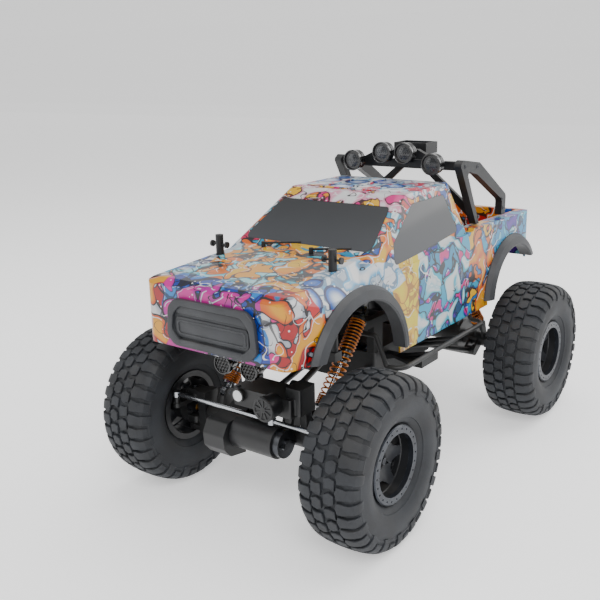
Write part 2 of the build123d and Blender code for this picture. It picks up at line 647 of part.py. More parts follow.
def shock_eye(y, z):
    return x_rod(SHOCK_X - SHOCK_EYE_T / 2, SHOCK_X + SHOCK_EYE_T / 2, y, z, SHOCK_EYE_R)


def shock_body():
    """The upper half of the left shock: eye, spring collar and cylinder."""
    shape = shock_eye(*SHOCK_TOP) + shock_tube(2, SHOCK_BODY[0] + 1, 2.4)
    shape += shock_tube(*SHOCK_BODY, SHOCK_BODY_R)
    shape += shock_tube(COLLAR_TOP, COLLAR_TOP + COLLAR_T, COLLAR_R)
    shape -= shock_tube(SHOCK_BORE_TOP, SHOCK_BODY[1] + 1, SHOCK_ROD_R + RUN)
    return shape - x_rod(SHOCK_X - 4, SHOCK_X + 4, *SHOCK_TOP, PIN_R + RUN)


def shock_rod():
    """The lower half of the left shock: rod, spring collar and eye."""
    shape = shock_tube(SHOCK_ROD_TOP, SHOCK_L, SHOCK_ROD_R) + shock_tube(COLLAR_FOOT - 2, SHOCK_L, 2.4)
    shape += shock_tube(COLLAR_FOOT, COLLAR_FOOT + COLLAR_T, COLLAR_R) + shock_eye(*SHOCK_FOOT)
    return shape - x_rod(SHOCK_X - 4, SHOCK_X + 4, *SHOCK_FOOT, PIN_R + EYE_RUN)


def spring():
    """The left shock's coil spring, from the upper collar to the lower one."""
    start = COLLAR_TOP + COLLAR_T + GAP + SPRING_WIRE_R
    end = COLLAR_FOOT - GAP - SPRING_WIRE_R
    height = end - start
    coil = Helix(pitch=height / SPRING_TURNS, height=height, radius=SPRING_R)
    wire = sweep(Plane(origin=coil @ 0, z_dir=coil % 0) * Circle(SPRING_WIRE_R), path=coil, is_frenet=True)
    axis = Vector(0, SHOCK_DY, SHOCK_DZ).normalized()
    seat = Plane(origin=Vector(*along_shock(start)), x_dir=Vector(1, 0, 0), z_dir=axis)
    return seat.location * wire


# ---------------------------------------------------------------- chassis
def chassis_tub():
    """The tub with its lower link brackets, and its cover."""
    w, l = TUB_HALF_W, TUB_HALF_L
    z0, z1 = TUB_Z
    outer = plan_prism([(-w, -l), (w, -l), (w, l), (-w, l)], z0, z1, [3.0] * 4)
    tub = outer - block(-w + TUB_WALL, w - TUB_WALL, -l + TUB_WALL, l - TUB_WALL, z0 + TUB_WALL, z1 + 1)
    for side in (-1, 1):
        for end in (-1, 1):
            tub += block(side * (w - 9), side * (w - 1), end * (l - 12), end * (l - 1), z0 + 1, z1)
    brackets = [ears(side * LOWER_PIVOT[0], *LOWER_PIVOT[1:], EYE_T + 2 * GAP, EAR_T, EYE_R, (-l + 1, LOWER_PIVOT[2]))
                for side in (-1, 1)]
    for bracket in brackets:
        tub += bracket + to_rear(bracket)
    for side in (-1, 1):
        for end in (-1, 1):
            x, y, z = LOWER_PIVOT
            tub -= x_rod(side * x - 7, side * x + 7, end * y, z, PIN_R + GAP / 2)
    cover = plan_prism([(-w, -l + 14.5), (w, -l + 14.5), (w, l - 14.5), (-w, l - 14.5)], z1 + GAP, z1 + GAP + COVER_T,
                       [1.0] * 4)
    return [tub, cover]


def frame_half():
    """The front half of the upper frame: rails, link brackets, shock towers and body post bridge."""
    x0, x1 = RAIL_X
    z0, z1 = RAIL_Z
    l = TUB_HALF_L
    pieces = [
        block(-x1, x1, -l, -l + 7, z0 - 4, z1),
        block(-x1, x1, -RAIL_END, -RAIL_END + 6, z0, z1),
    ]
    for side in (-1, 1):
        pieces.append(block(side * x0, side * x1, -RAIL_END, 0, z0, z1))
        pieces.append(block(side * x0, side * x1, -l, -l + 14, TUB_Z[1] + GAP, z1))
        pieces.append(ears(side * UPPER_PIVOT[0], *UPPER_PIVOT[1:], EYE_T + 2 * GAP, EAR_T, EYE_R,
                           (-l + 1, UPPER_PIVOT[2] + 2)))
        ty, tz = SHOCK_TOP
        tower = side_prism([(ty + 20, z0), (ty - 18, z0), (ty - 5.5, tz), (ty + 5.5, tz)], x0, TOWER_X)
        tower += x_rod(x0, TOWER_X, ty, tz, 5.5)
        tower += x_rod(TOWER_X - 1, SHOCK_X - SHOCK_EYE_T / 2 - GAP, ty, tz, SHOCK_EYE_R)
        pieces.append(tower if side > 0 else mirrored(tower))
    half = joined(pieces)
    for side in (-1, 1):
        x, y, z = UPPER_PIVOT
        half -= x_rod(side * x - 7, side * x + 7, y, z, PIN_R + GAP / 2)
        half -= x_rod(side * (x0 - 1), side * SHOCK_X, *SHOCK_TOP, PIN_R + GAP / 2)
    return half


def post(x, y, top, collar_z):
    """A body post with the collar that the body rests on."""
    return z_rod(x, y, RAIL_Z[0] + 1, top, POST_R) + z_rod(x, y, collar_z - 3.0, collar_z, POST_COLLAR_R)


def frame_rails():
    """The whole upper frame with its body posts."""
    frame = frame_half() + to_rear(frame_half())
    x, y = POST
    hood_z = hood_height(y - POST_COLLAR_R) - BODY_WALL - GAP
    frame += block(-x - 4, x + 4, y - 4.5, y + 4.5, *RAIL_Z)
    rx, ry = REAR_POST
    frame += block(-rx - 4, rx + 4, ry - 4, ry + 4, *RAIL_Z)
    for side in (-1, 1):
        frame += post(side * x, y, POST_TOP, hood_z)
        frame += post(side * rx, ry, BED_FLOOR_Z + 9.0, BED_FLOOR_Z - BODY_WALL - GAP)
        frame -= x_rod(side * x - 6, side * x + 6, y, clip_height(), 1.1)
    fx, fy, fz = FOG_PLACE
    for side in (-1, 1):
        frame += block(side * fx - 3, side * fx + 3, fy + FOG_L - 4 + GAP, -RAIL_END + 2, fz + 1.0, RAIL_Z[1])
    return frame


def chassis_pins():
    """The pins at the chassis ends of the links and at the tops of the shocks."""
    pins = []
    for x, y, z in (LOWER_PIVOT, UPPER_PIVOT):
        half = EYE_T / 2 + EAR_T
        pins += pair(x_rod(x - half, x + half, y, z, PIN_R))
    shock_pin = x_rod(TOWER_X - 4, SHOCK_X + SHOCK_EYE_T / 2 + 0.3, *SHOCK_TOP, PIN_R)
    shock_pin += x_rod(SHOCK_X + SHOCK_EYE_T / 2 + GAP, SHOCK_X + SHOCK_EYE_T / 2 + 2.0, *SHOCK_TOP, 2.8)
    pins += pair(shock_pin)
    return pins + [to_rear(pin) for pin in pins]


def fog_lights():
    """Two round lamps under the grille, on the frame's front brackets."""
    x, y, z = FOG_PLACE
    lamp = y_rod(x, y - 4, y + FOG_L - 4, z, FOG_R) - y_rod(x, y - 5, y - 2.5, z, FOG_R - 1.2)
    return pair(lamp)


def rock_sliders():
    """A tube loop along each side, from the shock towers, braced to the tub."""
    y0, y1 = SLIDER_Y
    inner_x, knee_x = TOWER_X + GAP, SLIDER_X - 14.0
    tower_z = (RAIL_Z[0] + RAIL_Z[1]) / 2
    path = []
    for y, order in ((y0, 1), (y1, -1)):
        end = [(inner_x, y, tower_z), (knee_x - 10, y, tower_z), (knee_x, y, SLIDER_Z), (SLIDER_X, y, SLIDER_Z)]
        path += end[::order]
    loop = bent_bar(path, [3.0, 3.0, 10.0, 10.0, 3.0, 3.0], SLIDER_R)
    for y in SLIDER_STRUTS:
        loop += rod((TUB_HALF_W - 2, y, TUB_Z[1] - 9), (SLIDER_X, y, SLIDER_Z), SLIDER_R)
    y = SLIDER_STRUTS[0]
    loop += plan_prism([(TUB_HALF_W - 2, y - 5), (TUB_HALF_W + 12, y - 5), (SLIDER_X - 10, y - 14), (SLIDER_X, y - 14),
                        (SLIDER_X, y + 14), (SLIDER_X - 10, y + 14), (TUB_HALF_W + 12, y + 5), (TUB_HALF_W - 2, y + 5)],
                       SLIDER_Z - 9, SLIDER_Z - 6.5)
    loop += block(SLIDER_X - 1.2, SLIDER_X, y - 14, y + 14, SLIDER_Z - 9, SLIDER_Z)
    w, l = TUB_HALF_W + GAP, TUB_HALF_L + GAP
    loop -= block(-w, w, -l, l, TUB_Z[0], TUB_Z[1] + GAP + COVER_T + 2 * GAP)
    return pair(loop)


def battery_pack():
    """The battery in the tub."""
    floor = TUB_Z[0] + TUB_WALL + GAP
    cells = [y_rod(x, -25, 25, floor + 7.2, 7.2) for x in (-20, -5.3)]
    return cells + [block(-27.2, 2.0, 25.1, 27.0, floor, floor + 14.4)]


def receiver():
    """The receiver and speed controller board in its case."""
    floor = TUB_Z[0] + TUB_WALL + GAP
    return block(7, 27, -22, 22, floor, floor + 13) + block(10, 18, 22, 24, floor + 3, floor + 8)


# ---------------------------------------------------------------- body
def hood_height(y):
    """The height of the hood's skin at a place along it."""
    slope = (COWL[1] - HOOD_FRONT[1]) / (COWL[0] - HOOD_FRONT[0])
    return HOOD_FRONT[1] + slope * (y - HOOD_FRONT[0])


def clip_height():
    return hood_height(POST[1]) + 8.0


def body_form(inset):
    """The body's outer form, or its inner form when inset by the wall. It is open at the bottom."""
    t = inset
    depth = 20 if inset else 0
    profile = [
        (BODY_FRONT + t, ROCKER_Z - depth), (BODY_FRONT + t, HOOD_FRONT[1] - 4 - t), (HOOD_FRONT[0], HOOD_FRONT[1] - t),
        (COWL[0], COWL[1] - t), (COWL[0] + 1, BELT_FRONT_Z - t), (CAB_FOOT[1], RAIL_TOP_Z - 2 - t),
        (CAB_FOOT[1] + 2, RAIL_TOP_Z - t), (BODY_REAR - t, RAIL_TOP_Z - 3 - t), (BODY_REAR - t, ROCKER_Z - depth),
    ]
    w, nose = BODY_HALF_W - t, NOSE_HALF_W - t
    front, rear = BODY_FRONT + t, BODY_REAR - t
    plan = [(-nose, front), (nose, front), (w, front + 30), (w, rear - 12), (w - 5, rear), (5 - w, rear),
            (-w, rear - 12), (-w, front + 30)]
    lower = side_prism(profile, -w, w) & plan_prism(plan, ROCKER_Z - depth, 250, [8, 8, 20, 10, 4, 4, 10, 20])
    (bx, bz), (ex, ez) = HOOD_BEVEL
    length = math.hypot(ex - bx, ez - bz)
    dx, dz = t * (bz - ez) / length, t * (ex - bx) / length
    wedge = front_prism([(bx - dx, bz - dz), (ex - dx, ez - dz), (ex + 15, ez - dz), (ex + 15, bz + 8), (bx - dx, bz + 8)],
                        BODY_FRONT - 5, COWL[0] + 3)
    lower -= wedge
    lower -= mirrored(wedge)
    (y0, y1, hx), (ry0, ry1, rx) = CAB_FOOT, CAB_ROOF
    z0, z1 = CAB_Z
    foot = [(-hx + t, y0 + t), (hx - t, y0 + t), (hx - t, y1 - t), (-hx + t, y1 - t)]
    roof = [(-rx + t, ry0 + t), (rx - t, ry0 + t), (rx - t, ry1 - t), (-rx + t, ry1 - t)]
    sections = []
    for corners, z in ((foot, z0 - depth / 10), (roof, z1 - t)):
        ring = FilletPolyline(*[(x, y, z) for x, y in corners], radius=[6.0] * 4, close=True)
        sections.append(make_face(ring))
    return lower + loft(sections, ruled=True)


def window_prisms(shrink):
    """The window openings as prisms that cross the cab's walls."""
    screen = front_prism([(-63, 203.5), (63, 203.5), (53, 231), (-53, 231)], -125, -36, [4.0] * 4, shrink)
    back = front_prism([(-52, 204), (52, 204), (47, 231), (-47, 231)], 40, 66, [4.0] * 4, shrink)
    side = side_prism([(-70, 190), (-20, 193), (42, 198.5), (32, 231), (-22, 231), (-64, 206)], 45, 85,
                      [3, 10, 3, 3, 6, 3], shrink)
    return [screen, back, side, mirrored(side)]


def bed_void(inset):
    """The space inside the bed, or the bed's outer walls when grown by the wall."""
    y0, y1, half = BED
    g = inset
    return block(-half - g, half + g, y0 - g, y1 + g, BED_FLOOR_Z - g, 260)


def body_and_glass():
    """The painted shell and its window panes."""
    shell = body_form(0)
    inner = body_form(BODY_WALL) - bed_void(BODY_WALL)
    shell -= inner
    shell -= bed_void(0)
    shell -= x_rod(-95, 95, *FRONT_ARCH)
    for side in (-1, 1):
        shell -= x_rod(side * (BED[2] + BODY_WALL + CLEAR), side * 95, *REAR_ARCH)
    shell -= block(-95, 95, BODY_FRONT - 2, FRONT_ARCH[0], ROCKER_Z - 5, NOSE_Z)
    shell -= block(-95, 95, REAR_ARCH[0], BODY_REAR + 2, ROCKER_Z - 5, TAIL_Z)
    shell -= block(-GRILLE_HALF_W + 4, GRILLE_HALF_W - 4, BODY_FRONT - 2, BODY_FRONT + 4, GRILLE_Z[0] + 4,
                   GRILLE_Z[1] - 4)
    for side in (-1, 1):
        shell -= z_rod(side * POST[0], POST[1], 180, 215, POST_R + 0.5)
        shell -= z_rod(side * REAR_POST[0], REAR_POST[1], BED_FLOOR_Z - 5, BED_FLOOR_Z + 5, POST_R + 0.5)
    panes = []
    for cutter in window_prisms(PANE_GAP):
        panes += (shell & cutter).solids()
    for cutter in window_prisms(0):
        shell -= cutter
    return shell.solids().sort_by(SortBy.VOLUME)[-1], panes


def grille():
    """The grille: a rounded panel with a recessed middle and a lower bar, on two pegs."""
    z0, z1 = GRILLE_Z
    w = GRILLE_HALF_W
    y1 = BODY_FRONT - GAP
    outer = front_prism([(-w, z0 + 6), (-w + 6, z0), (w - 6, z0), (w, z0 + 6), (w - 2, z1 - 6), (w - 8, z1),
                         (-w + 8, z1), (-w + 2, z1 - 6)], y1 - GRILLE_T, y1, [3.0] * 8)
    outer -= block(-w + 6, w - 6, y1 - GRILLE_T - 1, y1 - GRILLE_T + 1.2, z0 + 8, z1 - 9)
    for k in range(-2, 3):
        outer -= y_rod(k * 12.0, y1 - GRILLE_T - 1, y1 - GRILLE_T + 0.8, z1 - 4.5, 2.0)
    bar = block(-w + 14, w - 14, y1 - GRILLE_T - 1.2, y1 - GRILLE_T + 1, z0 + 2, z0 + 5)
    pegs = [block(side * 30 - 4, side * 30 + 4, y1 - 1, y1 + 5, z0 + 10, z1 - 10) for side in (-1, 1)]
    return outer + bar + pegs[0] + pegs[1]


def flare(arch, ends):
    """A left fender flare around an arch, cut off at its lowest height ahead of and behind the wheel."""
    y, z, r = arch
    x0, x1 = BODY_HALF_W + GAP, BODY_HALF_W + FLARE_OUT
    band = spun([(x0 - 5, r - FLARE_LIP), (x1 - 1, r - FLARE_LIP), (x1, r - 0.5), (x1 - 2, r + FLARE_W * 0.7),
                 (x0 + 1, r + FLARE_W), (x0, r + FLARE_W), (x0, r - GAP), (x0 - 5, r - GAP)])
    band = Pos(0, y, z) * band
    band -= block(0, 100, y - 100, y, z - 100, ends[0])
    return band - block(0, 100, y, y + 100, z - 100, ends[1])


def fender_flares():
    pieces = []
    for arch, ends in ((FRONT_ARCH, FRONT_FLARE_ENDS), (REAR_ARCH, REAR_FLARE_ENDS)):
        pieces += pair(flare(arch, ends))
    return pieces


def wipers():
    """Two wipers lying along the foot of the windscreen."""
    pieces = []
    for x in WIPER_X:
        root, tip = (x, COWL[0] - 5.0, COWL[1] + 3.0), (x + WIPER_L, COWL[0] + 0.5, COWL[1] + 6.0)
        arm = rod(root, tip, 0.9) + z_rod(root[0], root[1], hood_height(root[1]) + GAP, root[2] + 1.2, 1.8)
        pieces.append(arm)
    return pieces


def body_clips():
    """The clips through the body posts: a bar with an ear at each end."""
    x, y = POST
    z = clip_height()
    clip = x_rod(x - 7.5, x + 7.5, y, z, 0.9)
    for end in (x - 7.5, x + 7.5):
        clip += x_rod(end - 0.9, end + 0.9, y, z, 2.6)
    return pair(clip)


# ---------------------------------------------------------------- roll bar and lights
def side_frame():
    """The left side of the roll bar: a bent flat bar with a filled upper corner."""
    foot = RAIL_TOP_Z + GAP
    fy, fz = BAR_FRONT_TOP
    ry, rz = BAR_REAR_TOP
    ky, kz = BAR_KNEE
    w = BAR_W
    outer = side_prism([(BAR_FRONT_FOOT_Y - w / 2, foot), (fy - w / 2, fz), (fy + 2, fz + 4), (ry + 2, rz + 3),
                        (ky + w / 2, kz + 2), (BAR_REAR_FOOT_Y + w / 2, foot)], *BAR_X, [0.5, 3, 3, 6, 6, 0.5])
    window = side_prism([(BAR_FRONT_FOOT_Y + w / 2, foot - 5), (fy + w, fz - w * 0.7), (ry - 2, rz - w * 0.9),
                         (ky - w / 2, kz - 2), (BAR_REAR_FOOT_Y - w / 2, foot - 5)],
                        BAR_X[0] - 1, BAR_X[1] + 1, [0.5, 3, 4, 4, 0.5])
    return outer - window


def roll_bar():
    """The roll bar: two side frames, cross bars, a V brace and the box on its top."""
    shape = joined(pair(side_frame()))
    x0 = BAR_X[0]
    fy, fz = BAR_FRONT_TOP
    ry, rz = BAR_REAR_TOP
    shape += block(-x0 - 1, x0 + 1, fy + 3, fy + 9, fz - 4.5, fz + 2)
    shape += block(-x0 - 1, x0 + 1, ry - 5, ry + 2, rz - 5, rz + 1)
    (ox, oy, oz), (ix, iy, iz) = POD_PLACES
    step = [(-x0, fz - 3), (-ox, fz - 3), (-ix - 8, iz - 3), (ix + 8, iz - 3), (ox, fz - 3), (x0, fz - 3),
            (x0, fz + 2), (ox - 2, fz + 2), (ix + 8, iz + 3), (-ix - 8, iz + 3), (-ox + 2, fz + 2), (-x0, fz + 2)]
    shape += front_prism(step, fy + 3, fy + 8)
    for side in (-1, 1):
        brace = front_prism([(side * 6, rz - 1), (side * 14, rz - 1), (side * 58, RAIL_TOP_Z + 16),
                             (side * 58, RAIL_TOP_Z + 6)], ry + 22, ry + 26)
        brace = Pos(0, -24, 0) * brace
        shape += brace
    bx, by0, by1, bz0, bz1 = ROOF_BOX
    shape += block(-bx + 4, bx - 4, ry - 5, ry + 2, rz, bz0 + 1)
    box = block(-bx, bx, by0, by1, bz0, bz1) - block(-bx + 1.6, bx - 1.6, by0 + 1.6, by1 - 1.6, bz0 + 5, bz1 + 1)
    return shape + box


def pod_places():
    for x, y, z in POD_PLACES:
        yield x, y, z
        yield -x, y, z


def light_pods():
    """Four round lamps on the front of the roll bar, each with its recessed front."""
    pods = []
    back = BAR_FRONT_TOP[0] + 3 - GAP
    for x, y, z in pod_places():
        pod = y_rod(x, y - POD_L + 2, y - 1, z, POD_R) + y_rod(x, y - 2, back, z, POD_R * 0.6)
        pods.append(pod - y_rod(x, y - POD_L + 1, y - POD_L + 3.5, z, POD_R - 1.3))
    return pods


# ---------------------------------------------------------------- the whole truck
def build_axles():
    """Both axles with everything that rides on them."""
    for end, steered, place in (("front", True, lambda s: s), ("rear", False, to_rear)):
        save(f"{end}_axle_housing", place(axle_housing(steered)))
        save(f"{end}_diff_guard", place(diff_guard()))
        save(f"{end}_drive_motor", place(drive_motor()))
        save(f"{end}_axle_pins", [place(pin) for pin in axle_pins()])
        save(f"{end}_drive_gear", [place(piece) for piece in drive_gear(steered)])
        save(f"{end}_pinion", place(pinion()))
        for name, ends in (("lower", (LOWER_PIVOT, LOWER_AXLE_PIN)), ("upper", (UPPER_PIVOT, UPPER_AXLE_PIN))):
            save(f"{end}_{name}_links", [place(piece) for piece in pair(link(*ends))])
        save(f"{end}_shock_bodies", [place(piece) for piece in pair(shock_body())])
        save(f"{end}_shock_rods", [place(piece) for piece in pair(shock_rod())])
        save(f"{end}_springs", [place(piece) for piece in pair(spring())])
    knuckle = knuckle_parts()
    save("knuckle_left", knuckle)
    save("knuckle_right", [mirrored(piece) for piece in knuckle])
    save("kingpin_screws", kingpins())
    save("tie_rod", tie_rod())
    save("servo_arm", servo_arm())
    save("steering_gearbox", steering_gearbox())
    save("rear_bearings", [to_rear(piece) for piece in rear_bearings()])


def build_chassis_and_body():
    """Everything that is fixed to the chassis."""
    save("chassis_tub", chassis_tub())
    save("frame_rails", frame_rails())
    save("chassis_pins", chassis_pins())
    save("battery_pack", battery_pack())
    save("receiver", receiver())
    save("fog_lights", fog_lights())
    save("rock_sliders", rock_sliders())
    shell, panes = body_and_glass()
    save("body_shell", shell)
    save("window_glass", panes)
    save("grille", grille())
    save("fender_flares", fender_flares())
    save("wipers", wipers())
    save("body_clips", body_clips())
    save("roll_bar", roll_bar())
    save("light_pods", light_pods())


build_wheels()
build_axles()
build_chassis_and_body()
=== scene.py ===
"""A remote control rock truck with a sprayed pickup body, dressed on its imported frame."""
import logging
import math
from dataclasses import dataclass
from enum import Enum
from typing import Callable, Iterable, Sequence

import bmesh
import bpy
from mathutils import Matrix, Vector


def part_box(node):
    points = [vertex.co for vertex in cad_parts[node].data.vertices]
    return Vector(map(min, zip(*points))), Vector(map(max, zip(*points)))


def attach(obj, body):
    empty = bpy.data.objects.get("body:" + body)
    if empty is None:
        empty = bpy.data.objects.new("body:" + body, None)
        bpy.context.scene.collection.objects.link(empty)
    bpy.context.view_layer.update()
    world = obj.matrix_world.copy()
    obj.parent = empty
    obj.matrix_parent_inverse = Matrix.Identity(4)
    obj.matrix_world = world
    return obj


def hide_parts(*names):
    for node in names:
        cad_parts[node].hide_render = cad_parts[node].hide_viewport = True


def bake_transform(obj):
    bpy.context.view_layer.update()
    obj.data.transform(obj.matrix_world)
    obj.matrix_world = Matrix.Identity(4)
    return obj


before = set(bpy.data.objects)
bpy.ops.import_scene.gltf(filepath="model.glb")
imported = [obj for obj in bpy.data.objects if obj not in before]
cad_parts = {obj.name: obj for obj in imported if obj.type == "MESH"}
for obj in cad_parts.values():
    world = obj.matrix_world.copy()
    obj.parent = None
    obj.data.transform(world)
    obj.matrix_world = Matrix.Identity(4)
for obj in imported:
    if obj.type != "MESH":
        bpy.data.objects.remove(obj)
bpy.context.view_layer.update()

MM = 0.001
DUST_COLOUR = "8c8880"
EDGE_SOFTNESS = 0.0005  # metres over which one sprayed area gives way to the next
COLLAR_GAPS = (9.15, 8.17)  # from the upper and the lower shock eye to the coil's end
AHEAD = Matrix.Rotation(math.pi / 2, 4, "Z")  # turns a piece made along -X to face -Y
WHEELS = ("front_left", "front_right", "rear_left", "rear_right")
ENDS = ("front", "rear")

log = logging.getLogger("rock_truck")


def linear(code: str) -> tuple[float, float, float, float]:
    """Turns a six-digit colour code into a linear colour.

    Args:
        code: Red, green and blue in hexadecimal, such as "f0a020".

    Returns:
        The colour with an alpha of 1.
    """
    parts = [int(code[i:i + 2], 16) / 255 for i in (0, 2, 4)]
    red, green, blue = (p / 12.92 if p <= 0.04045 else ((p + 0.055) / 1.055) ** 2.4 for p in parts)
    return red, green, blue, 1.0


class Way(Enum):
    """The direction that a flat outline faces when it is made into a plate."""

    OUTBOARD = 0
    AFT = 1
    UP = 2


# ------------------------------------------------------------------ node trees
class NodePen:
    """Adds and wires the nodes of one tree."""

    def __init__(self, tree: bpy.types.NodeTree) -> None:
        """Starts on a tree."""
        self.tree = tree

    def feed(self, socket: bpy.types.NodeSocket, value: object) -> None:
        """Links a socket to an input, or sets the input's value.

        Args:
            socket: The input.
            value: An output socket, a number, a vector or a colour.
        """
        if isinstance(value, bpy.types.NodeSocket):
            self.tree.links.new(value, socket)
        else:
            socket.default_value = value

    def node(self, kind: str, feeds: dict[object, object] | None = None, **settings: object) -> bpy.types.Node:
        """Adds a node.

        Args:
            kind: The node's type name.
            feeds: Input names or numbers with what goes into them.
            settings: The node's own properties.

        Returns:
            The new node.
        """
        made = self.tree.nodes.new(kind)
        for key, value in settings.items():
            setattr(made, key, value)
        for key, value in (feeds or {}).items():
            self.feed(made.inputs[key], value)
        return made

    def math(self, operation: str, *values: object) -> bpy.types.NodeSocket:
        """Adds a math node and returns its output."""
        return self.node("ShaderNodeMath", dict(enumerate(values)), operation=operation).outputs[0]

    def vector(self, operation: str, *values: object) -> bpy.types.NodeSocket:
        """Adds a vector math node and returns its vector output."""
        made = self.node("ShaderNodeVectorMath", dict(enumerate(values)), operation=operation)
        return made.outputs["Value" if operation in ("DOT_PRODUCT", "LENGTH", "DISTANCE") else "Vector"]

    def step(self, value: object, low: float, high: float) -> bpy.types.NodeSocket:
        """A mask that rises smoothly from 0 at low to 1 at high, or falls when low is the larger."""
        turned = low > high
        feeds = {"Value": value, "From Min": min(low, high), "From Max": max(low, high),
                 "To Min": 1.0 if turned else 0.0, "To Max": 0.0 if turned else 1.0}
        made = self.node("ShaderNodeMapRange", feeds, interpolation_type="SMOOTHSTEP")
        return made.outputs["Result"]

    def window(self, value: object, low: float, high: float, soft: float) -> bpy.types.NodeSocket:
        """A mask that is 1 between two values."""
        return self.math("MULTIPLY", self.step(value, low - soft, low + soft),
                         self.step(value, high + soft, high - soft))

    def blend(self, share: object, under: object, over: object) -> bpy.types.NodeSocket:
        """Lays one colour over another.

        Args:
            share: How much of the upper colour shows.
            under: The lower colour.
            over: The upper colour.

        Returns:
            The mixed colour.
        """
        made = self.node("ShaderNodeMix", {0: share, 6: under, 7: over}, data_type="RGBA")
        return made.outputs[2]

    def palette(self, share: object, codes: Sequence[str], held: bool = True) -> bpy.types.NodeSocket:
        """Picks a colour from a row of colours.

        Args:
            share: Where along the row, from 0 to 1.
            codes: The colour codes in order.
            held: True for flat patches, False for a smooth run.

        Returns:
            The colour.
        """
        made = self.node("ShaderNodeValToRGB", {"Fac": share})
        ramp = made.color_ramp
        ramp.interpolation = "CONSTANT" if held else "LINEAR"
        spacing = len(codes) if held else len(codes) - 1
        while len(ramp.elements) < len(codes):
            ramp.elements.new(1.0)
        for k, code in enumerate(codes):
            ramp.elements[k].position = k / spacing
            ramp.elements[k].color = linear(code)
        return made.outputs["Color"]

    def noise(self, where: object, scale: float, detail: float = 2.0) -> bpy.types.Node:
        """Adds a noise texture."""
        return self.node("ShaderNodeTexNoise", {"Vector": where, "Scale": scale, "Detail": detail})

    def use(self, shared: bpy.types.NodeTree, feeds: dict[object, object]) -> bpy.types.Node:
        """Places a shared group and feeds it."""
        made = self.tree.nodes.new("ShaderNodeGroup")
        made.node_tree = shared
        for key, value in feeds.items():
            self.feed(made.inputs[key], value)
        return made


